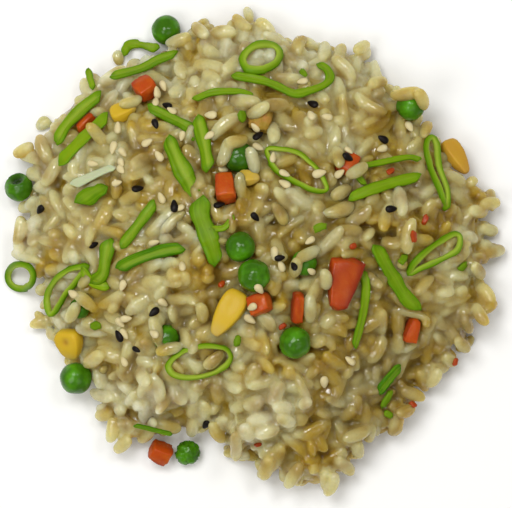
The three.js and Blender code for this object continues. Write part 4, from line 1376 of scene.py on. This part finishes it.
def heap_normal(x, y, reach=4 * MM):
    """The way the heap's form faces, never leaning more than toppings do."""
    grid = heap()

    def level(px, py):
        return grid.map.sample(grid.target, px, py)

    slope_x = (level(x + reach, y) - level(x - reach, y)) / (2 * reach)
    slope_y = (level(x, y + reach) - level(x, y - reach)) / (2 * reach)
    steep = math.hypot(slope_x, slope_y)
    ease = min(1.0, 0.75 / max(steep, 0.001))
    return Vector((-slope_x * ease, -slope_y * ease, 1)).normalized()


def node_middle(node):
    """The middle of a CAD node's box."""
    low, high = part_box(node)
    return (low + high) / 2


class HEAP_OT_peas(bpy.types.Operator):
    """Makes the garden peas."""

    bl_idname = "heap.peas"
    bl_label = "Peas"

    def execute(self, context):
        round_vertices, faces = ball()
        parts = []
        for index, (node, (_, _, radius, squash, look)) in enumerate(PEAS.items()):
            place = leaned(*node_middle(node), 37 * index)
            dent = Vector((0.55, 0.35, 0.76)).normalized()
            vertices, shade = [], []
            for vertex in round_vertices:
                wave = noise.noise(vertex * 1.5 + Vector((index * 7, 0, 0)))
                fold = noise.noise(vertex * 1.1 + Vector((0, index * 5, 2)))
                swell = 1 + 0.05 * wave - 0.07 * max(0.0, 1 - abs(fold) * 9) * (index % 3 > 0)
                dark = 0.0
                if look == "wrinkled":
                    ridge = abs(noise.noise(vertex * 2.6 + Vector((0, index, 3))))
                    swell -= 0.3 * (1 - min(1, 3.5 * ridge)) ** 2
                # a split pea is dented, and darker in the dent: painted shade
                if look == "split":
                    dark = within((vertex.dot(dent) - 0.76) / 0.1)
                    swell -= 0.42 * dark
                # a pea deep in a hollow is darker all over: painted shade
                if look == "deep":
                    dark = 0.55
                scaled = vertex * radius * MM * swell
                scaled.z *= squash
                vertices.append(place @ scaled)
                shade.append(dark)
            parts.append((vertices, faces, {"shade": shade}))
        joined_piece("garden_peas", parts, pea_finish(), PEAS)
        return {"FINISHED"}


class HEAP_OT_corn(bpy.types.Operator):
    """Makes the corn kernels."""

    bl_idname = "heap.corn"
    bl_label = "Corn kernels"

    def execute(self, context):
        round_vertices, faces = ball()
        parts = []
        for node, (x, y, degrees, length, width, depth, look) in CORN.items():
            place = leaned(*node_middle(node), degrees)
            vertices, root, orange, dent_shade = [], [], [], []
            for vertex in round_vertices:
                side = math.hypot(vertex.y, vertex.z)
                square = max(abs(vertex.y), abs(vertex.z)) / side if side > 0.001 else 1.0
                blunt = side ** 0.5 / side / square ** 0.7 if side > 0.001 else 1.0
                girth = blunt * (0.8 + 0.26 * vertex.x - 0.08 * vertex.x ** 2)
                dimple = math.exp(-((vertex.x - 0.35) ** 2 + vertex.y ** 2) / 0.12)
                top = max(0.0, vertex.z)
                sink = (0.3 if look == "dented" else 0.1) * dimple * top
                wave = 1 + 0.03 * noise.noise(vertex * 1.7 + Vector((x, y, 0)))
                vertices.append(place @ (Vector((
                    vertex.x * length, vertex.y * girth * width,
                    (vertex.z - sink) * girth * depth,
                )) * wave * MM / 2))
                paler = 0.6 if look == "pale" else 0
                root.append(within((-0.45 - vertex.x) * 2) + paler)
                orange.append(0.9 if look == "orange" else 0.12)
                # darker in the dent of a dented kernel: painted shade
                dent_shade.append(0.8 * dimple ** 3 * top if look == "dented" else 0.0)
            parts.append((vertices, faces, {"root": root, "orange": orange, "dent_shade": dent_shade}))
        joined_piece("corn_kernels", parts, corn_finish(), CORN)
        return {"FINISHED"}


def dice_parts(table, roundness, relief):
    """Diced pieces with rounded edges and rough cut faces."""
    corners, faces = block(10)
    parts = []
    for index, (node, row) in enumerate(table.items()):
        x, y, degrees, length, width, depth, taper, dark = row
        place = leaned(*node_middle(node), degrees)
        vertices, shade = [], []
        for vertex in corners:
            rounded = vertex.lerp(vertex.normalized() * 1.25, roundness)
            wave = noise.noise(vertex * 1.3 + Vector((index * 5, x, y)))
            fine = noise.noise(vertex * 4.1 + Vector((index * 3, y, x)))
            rounded *= 1 + relief * (wave + 0.4 * fine)
            narrow = 1 + (taper - 1) * (0.5 + 0.5 * max(-1, min(1, rounded.x)))
            vertices.append(place @ Vector((
                rounded.x * length * MM / 2, rounded.y * narrow * width * MM / 2,
                rounded.z * depth * MM / 2,
            )))
            # one side of each dice and its lower part are painted darker: painted shade; the listed
            # darkness and the waves are the piece's own tone
            side = 0.7 * max(0.0, vertex.y - 0.4) / 0.6
            shade.append(within(dark + side + 0.5 * wave - 0.3 * vertex.z))
        parts.append((vertices, faces, {"shade": shade}))
    return parts


def visible_tree():
    """A tree for casting rays at the pieces made so far."""
    return tree_of(
        made.data for made in bpy.context.scene.objects
        if made.type == "MESH" and made.data.materials
    )


def seat(tree, x, y, half, heading, sunk):
    """Where a small thing lies on the pieces: its middle and its rotation."""
    across = []
    for along, sideways in ((0, 0), (0.6, 0), (-0.6, 0), (0, 0.6), (0, -0.6), (1, 0), (-1, 0)):
        px = x + along * half.x * math.cos(heading) - sideways * half.y * math.sin(heading)
        py = y + along * half.x * math.sin(heading) + sideways * half.y * math.cos(heading)
        hit = seen_from_above(tree, px, py)
        if hit is not None:
            bulge = half.z * math.sqrt(1.05 - along ** 2 - sideways ** 2)
            across.append((px - x, py - y, hit.z, bulge))
    places = np.array(across)
    plane = np.stack([places[:, 0], places[:, 1], np.ones(len(places))], axis=1)
    slope_x, slope_y, _ = np.linalg.lstsq(plane, places[:, 2], rcond=None)[0]
    steep = max(1.0, math.hypot(slope_x, slope_y) / 0.8)
    slope_x, slope_y = slope_x / steep, slope_y / steep
    rests = places[:, 2] + places[:, 3] - slope_x * places[:, 0] - slope_y * places[:, 1]
    normal = Vector((-slope_x, -slope_y, 1)).normalized()
    lean = Vector((0, 0, 1)).rotation_difference(normal)
    return Vector((x, y, rests.max() - sunk)), lean @ Quaternion((0, 0, 1), heading)


def crumb_parts(table, values):
    """Small irregular crumbs lying on the rice, with the same attributes all over."""
    corners, faces = block(4)
    tree = visible_tree()
    parts = []
    for index, (x, y, length, width, degrees) in enumerate(table):
        half = Vector((length / 2, width / 2, 0.5)) * MM
        px, py = spot(x, y)
        middle, turn = seat(tree, px, py, half, math.radians(degrees), 0.35 * MM)
        vertices = []
        for vertex in corners:
            rounded = vertex.lerp(vertex.normalized() * 1.25, 0.7)
            rounded *= 1 + 0.35 * noise.noise(vertex * 1.4 + Vector((index * 3, x, y)))
            vertices.append(middle + turn @ Vector(a * b for a, b in zip(rounded, half)))
        everywhere = {key: [value] * len(vertices) for key, value in values.items()}
        parts.append((vertices, faces, everywhere))
    return parts


class HEAP_OT_carrots(bpy.types.Operator):
    """Makes the diced carrot."""

    bl_idname = "heap.carrots"
    bl_label = "Diced carrot"

    def execute(self, context):
        parts = dice_parts(DICE, 0.42, 0.09) + crumb_parts(CARROT_CRUMBS, {"shade": 0.5})
        joined_piece("diced_carrot", parts, carrot_finish(), DICE)
        return {"FINISHED"}


class HEAP_OT_egg(bpy.types.Operator):
    """Makes the piece of fried egg."""

    bl_idname = "heap.egg"
    bl_label = "Fried egg"

    def execute(self, context):
        joined_piece("fried_egg", dice_parts(EGG, 0.6, 0.22), egg_finish(), EGG)
        return {"FINISHED"}


def smooth_line(points, closed, step=0.45 * MM):
    """Points evenly along a smooth line through the given ones, and the line's length."""
    count = len(points)
    raw = []
    for i in range(count if closed else count - 1):
        if closed:
            p = [points[(i + k) % count] for k in (-1, 0, 1, 2)]
        else:
            p = [points[max(0, min(count - 1, i + k))] for k in (-1, 0, 1, 2)]
        p = [Vector(point) for point in p]
        for t in np.linspace(0, 1, 16, endpoint=False):
            raw.append(0.5 * (
                2 * p[1] + (p[2] - p[0]) * t + (2 * p[0] - 5 * p[1] + 4 * p[2] - p[3]) * t ** 2
                + (3 * p[1] - p[0] - 3 * p[2] + p[3]) * t ** 3
            ))
    raw.append(Vector(points[0] if closed else points[-1]))
    lengths = np.cumsum([0] + [(b - a).length for a, b in zip(raw, raw[1:])])
    steps = max(6, round(lengths[-1] / step))
    marks = np.linspace(0, lengths[-1], steps + 1)
    if closed:
        marks = marks[:-1]
    return [
        Vector([np.interp(mark, lengths, [q[axis] for q in raw]) for axis in range(2)])
        for mark in marks
    ], lengths[-1]


def strip_part(node, points, closed, section, width, ripeness):
    """A strip along a line at its node's height. The section gives (across, up, cut, rim)."""
    tree = tree_of([frame["nodes"][node].data])
    line, length = smooth_line([spot(x, y) for x, y in points], closed)
    levels = []
    for place in line:
        hit = seen_from_above(tree, *place)
        if hit is None:
            hit = tree.find_nearest(Vector((*place, node_middle(node).z)))[0]
        levels.append(hit.z)
    levels = np.array(levels)
    count = len(line)
    for _ in range(6):
        before, after = np.roll(levels, 1), np.roll(levels, -1)
        if not closed:
            before[0], after[-1] = levels[0], levels[-1]
        levels = (before + 2 * levels + after) / 4
    vertices, cuts, rims, uvs = [], [], [], []
    tip = 0.5 * width
    slant = 0.28 * math.copysign(1, noise.noise(Vector((*line[0], 0.7)) * 150))
    for i, place in enumerate(line):
        before = line[i - 1] if i or closed else place
        after = line[(i + 1) % count] if i < count - 1 or closed else place
        flat = (after - before).normalized()
        normal = heap_normal(place.x, place.y)
        ahead = Vector((flat.x, flat.y, 0))
        ahead = (ahead - normal * ahead.dot(normal)).normalized()
        across = normal.cross(ahead).normalized()
        wobble = 1 + 0.3 * noise.noise(Vector((place.x, place.y, 0)) * 230)
        twist = 0.5 * noise.noise(Vector((place.y, place.x, 0.3)) * 120)
        distance = min(i, count - 1 - i) / (count - 1) * length
        from_end = 1.0 if closed else min(1.0, distance / tip)
        shrink = max(0.4, math.sqrt(1 - (1 - from_end) ** 2))
        cut_across = 0.0 if closed else slant * max(0.0, 1 - distance / (1.5 * width))
        for sideways, upward, cut, rim in section:
            point = Vector((place.x, place.y, levels[i]))
            point += across * sideways * wobble * shrink
            point += ahead * sideways * cut_across
            point += normal * (upward * max(0.6, shrink) + sideways * twist)
            vertices.append(point)
            cuts.append(cut * (1 if closed else from_end))
            rims.append(max(rim, 0.0 if closed else 0.8 * (1 - from_end)))
            uvs.append((i / max(1, count - 1) * length / MM / 10, sideways / MM))
    size = len(section)
    faces = []
    for i in range(count if closed else count - 1):
        here, there = i * size, (i + 1) % count * size
        for k in range(size):
            other = (k + 1) % size
            faces.append((here + k, here + other, there + other, there + k))
    if not closed:
        last = (count - 1) * size
        faces.append(tuple(reversed(range(size))))
        faces.append(tuple(range(last, last + size)))
    ripe = [ripeness] * len(vertices)
    white = [0.85 if ripeness > 1 else 0.0] * len(vertices)
    return (vertices, faces, {"cut": cuts, "rim": rims, "ripeness": ripe, "white": white}), uvs


def rounded_section(width, height, count, power=0.7):
    """Places round a rounded flat section: its side and lift from -1 to 1, across and up."""
    for k in range(count):
        angle = k / count * math.tau
        side, lift = math.cos(angle), math.sin(angle)
        across = 0.5 * width * math.copysign(abs(side) ** power, side)
        up = 0.5 * height * math.copysign(abs(lift) ** power, lift)
        yield 2 * across / width, lift, across, up


def leaf_section(width, fold, thickness=0.9 * MM):
    """A leaf's section: flat, with a groove along its upper side that shows its pale inside."""
    points = []
    for side, lift, across, up in rounded_section(width, thickness, 24):
        groove = math.exp(-((side - 0.15) / 0.26) ** 2) if lift > 0 else 0.0
        ridge = math.exp(-((abs(side) - 0.6) / 0.25) ** 2) if lift > 0 else 0.0
        up += thickness * fold * (0.5 * ridge - 0.6 * groove)
        rim = 0.9 * max(0.0, abs(side) - 0.75) / 0.25
        points.append((across, up - 0.5 * thickness, min(1, 1.3 * fold * groove), rim))
    return points


def ring_section(strand, height=1.5 * MM):
    """A ring's wall: green outside, pale inside."""
    points = []
    for side, lift, across, up in rounded_section(strand, height, 14):
        cut = 0.85 * within(side + 0.35)
        rim = 0.8 * max(0.0, -side - 0.35) / 0.65
        points.append((across, up - 0.5 * height, cut, rim))
    return points


def scallion_piece(name, strips):
    """One mesh of several strips, with their map along the leaf."""
    parts, uvs = [], []
    for part, places in strips:
        parts.append(part)
        uvs += places
    mesh = joined_mesh(name, parts)
    layer = mesh.uv_layers.new(name="leaf")
    for loop in mesh.loops:
        layer.data[loop.index].uv = uvs[loop.vertex_index]
    return made_object(name, mesh)


def signed_area(points):
    """The area inside a loop, above 0 where the points run against the clock."""
    return sum(
        a[0] * b[1] - b[0] * a[1] for a, b in zip(points, points[1:] + points[:1])
    ) / 2


class HEAP_OT_scallions(bpy.types.Operator):
    """Makes the sliced scallion: leaves, rings and flattened loops."""

    bl_idname = "heap.scallions"
    bl_label = "Scallion"

    def execute(self, context):
        material = scallion_finish()
        leaves = []
        for node, width, fold, ripeness, points in LEAVES:
            section = leaf_section(width * MM, fold)
            leaves.append(strip_part(node, points, False, section, width * MM, ripeness))
        crumbs = crumb_parts(GREEN_CRUMBS, {"cut": 0.1, "rim": 0.2, "ripeness": 0.5, "white": 0.0})
        leaves += [(part, [(0.5, 0.0)] * len(part[0])) for part in crumbs]
        piece = scallion_piece("scallion_leaves", leaves)
        dress(piece, material, dict.fromkeys(row[0] for row in LEAVES))
        rings = []
        for node, strand, ripeness, points in LOOPS:
            turning_left = points if signed_area(points) > 0 else points[::-1]
            section = ring_section(strand * MM)
            rings.append(strip_part(node, turning_left, True, section, strand * MM, ripeness))
        piece = scallion_piece("scallion_rings", rings)
        dress(piece, material, [row[0] for row in LOOPS])
        return {"FINISHED"}


def seeds_piece(name, places, material):
    """Sesame seeds lying where they fell."""
    tree = visible_tree()
    draw = np.random.default_rng(len(places))
    kernels = []
    for x, y in places:
        px, py = spot(x, y)
        half = Vector((1.5, 0.9, 0.6)) * MM * float(1 + 0.08 * draw.normal())
        middle, turn = seat(tree, px, py, half, float(draw.random() * math.tau), 0.3 * MM)
        kernels.append((middle, turn, half, 0.0, float(draw.random()), 0.32))
    return dress(sown(name, kernels, material, SEED_FORM), None)


class HEAP_OT_seeds(bpy.types.Operator):
    """Strews the pale and the black sesame seeds."""

    bl_idname = "heap.seeds"
    bl_label = "Sesame seeds"

    def execute(self, context):
        pale = seed_finish("pale_sesame", (0.66, 0.59, 0.36, 1), (0.54, 0.44, 0.2, 1), 0.3)
        black = seed_finish(
            "black_sesame", (0.003, 0.002, 0.002, 1), (0.012, 0.008, 0.006, 1), 0.3
        )
        seeds_piece("pale_sesame", PALE_SEEDS, pale)
        seeds_piece("black_sesame", BLACK_SEEDS, black)
        return {"FINISHED"}


# ------------------------------------------------------------------ stage


# Lights: name, degrees round from +X, degrees up, size in metres, power in watts.
LIGHTS = (
    ("key_light", 128, 68, 0.34, 3.9),
    ("back_light", 50, 66, 0.2, 1.1),
    ("side_light", -50, 60, 0.4, 0.65),
    ("front_light", 208, 60, 0.4, 1.8),
)


def area_light(name, place, size, power):
    """A square light that points at the heap."""
    light = bpy.data.lights.new(name, "AREA")
    light.size = size
    light.energy = power
    made = bpy.data.objects.new(name, light)
    made.location = place
    made.rotation_mode = "QUATERNION"
    made.rotation_quaternion = (-Vector(place)).to_track_quat("-Z", "Y")
    bpy.context.scene.collection.objects.link(made)


class HEAP_OT_stage(bpy.types.Operator):
    """Makes the floor, the light and the camera."""

    bl_idname = "heap.stage"
    bl_label = "Stage"

    def execute(self, context):
        stage = settings().stage
        floor_mesh = bpy.data.meshes.new("floor")
        half = 3.0
        corners = [(-half, -half, 0), (half, -half, 0), (half, half, 0), (-half, half, 0)]
        floor_mesh.from_pydata(corners, [], [(0, 1, 2, 3)])
        floor = made_object("floor", floor_mesh)
        shade = Finish("pale_floor")
        floor.data.materials.append(shade.finish(base_color=(0.9, 0.9, 0.89, 1), roughness=0.9))
        for name, around, up, size, power in LIGHTS:
            direction = Matrix.Rotation(math.radians(around), 3, "Z") @ Vector(
                (math.cos(math.radians(up)), 0, math.sin(math.radians(up)))
            )
            area_light(name, direction * stage.reach, size, power * stage.brightness)
        world = bpy.data.worlds.new("studio")
        context.scene.world = world
        world.use_nodes = True
        background = world.node_tree.nodes["Background"]
        background.inputs["Color"].default_value = (1, 0.97, 0.9, 1)
        background.inputs["Strength"].default_value = stage.sky
        camera_data = bpy.data.cameras.new("camera")
        middle_height = 8 * MM
        camera_data.lens = (
            camera_data.sensor_width * (stage.distance - middle_height) / stage.width_seen
        )
        camera = bpy.data.objects.new("camera", camera_data)
        camera.location = (SHIFT.x, SHIFT.y - 0.25 * MM, stage.distance)
        context.scene.collection.objects.link(camera)
        context.scene.camera = camera
        context.scene.view_settings.view_transform = "Standard"
        return {"FINISHED"}


STEPS = (
    HEAP_OT_rice, HEAP_OT_peas, HEAP_OT_corn, HEAP_OT_carrots, HEAP_OT_egg,
    HEAP_OT_scallions, HEAP_OT_seeds, HEAP_OT_stage,
)


class HEAP_PT_panel(bpy.types.Panel):
    """Lists the heap's pieces."""

    bl_label = "Fried rice"
    bl_idname = "HEAP_PT_panel"
    bl_space_type = "VIEW_3D"
    bl_region_type = "UI"
    bl_category = "Fried rice"

    def draw(self, context):
        for operator in STEPS:
            self.layout.operator(operator.bl_idname)


CLASSES = (
    RiceSettings, ToppingSettings, StageSettings, HeapSettings, *STEPS, HEAP_PT_panel,
)


def register():
    """Adds the settings, the operators and the panel."""
    for each in CLASSES:
        bpy.utils.register_class(each)
    bpy.types.Scene.fried_rice = bpy.props.PointerProperty(type=HeapSettings)


def unregister():
    """Takes them away again."""
    del bpy.types.Scene.fried_rice
    for each in reversed(CLASSES):
        bpy.utils.unregister_class(each)


def main():
    """Makes all pieces and the stage."""
    register()
    for operator in STEPS:
        getattr(bpy.ops.heap, operator.bl_idname.split(".")[1])()


if __name__ == "__main__":
    main()
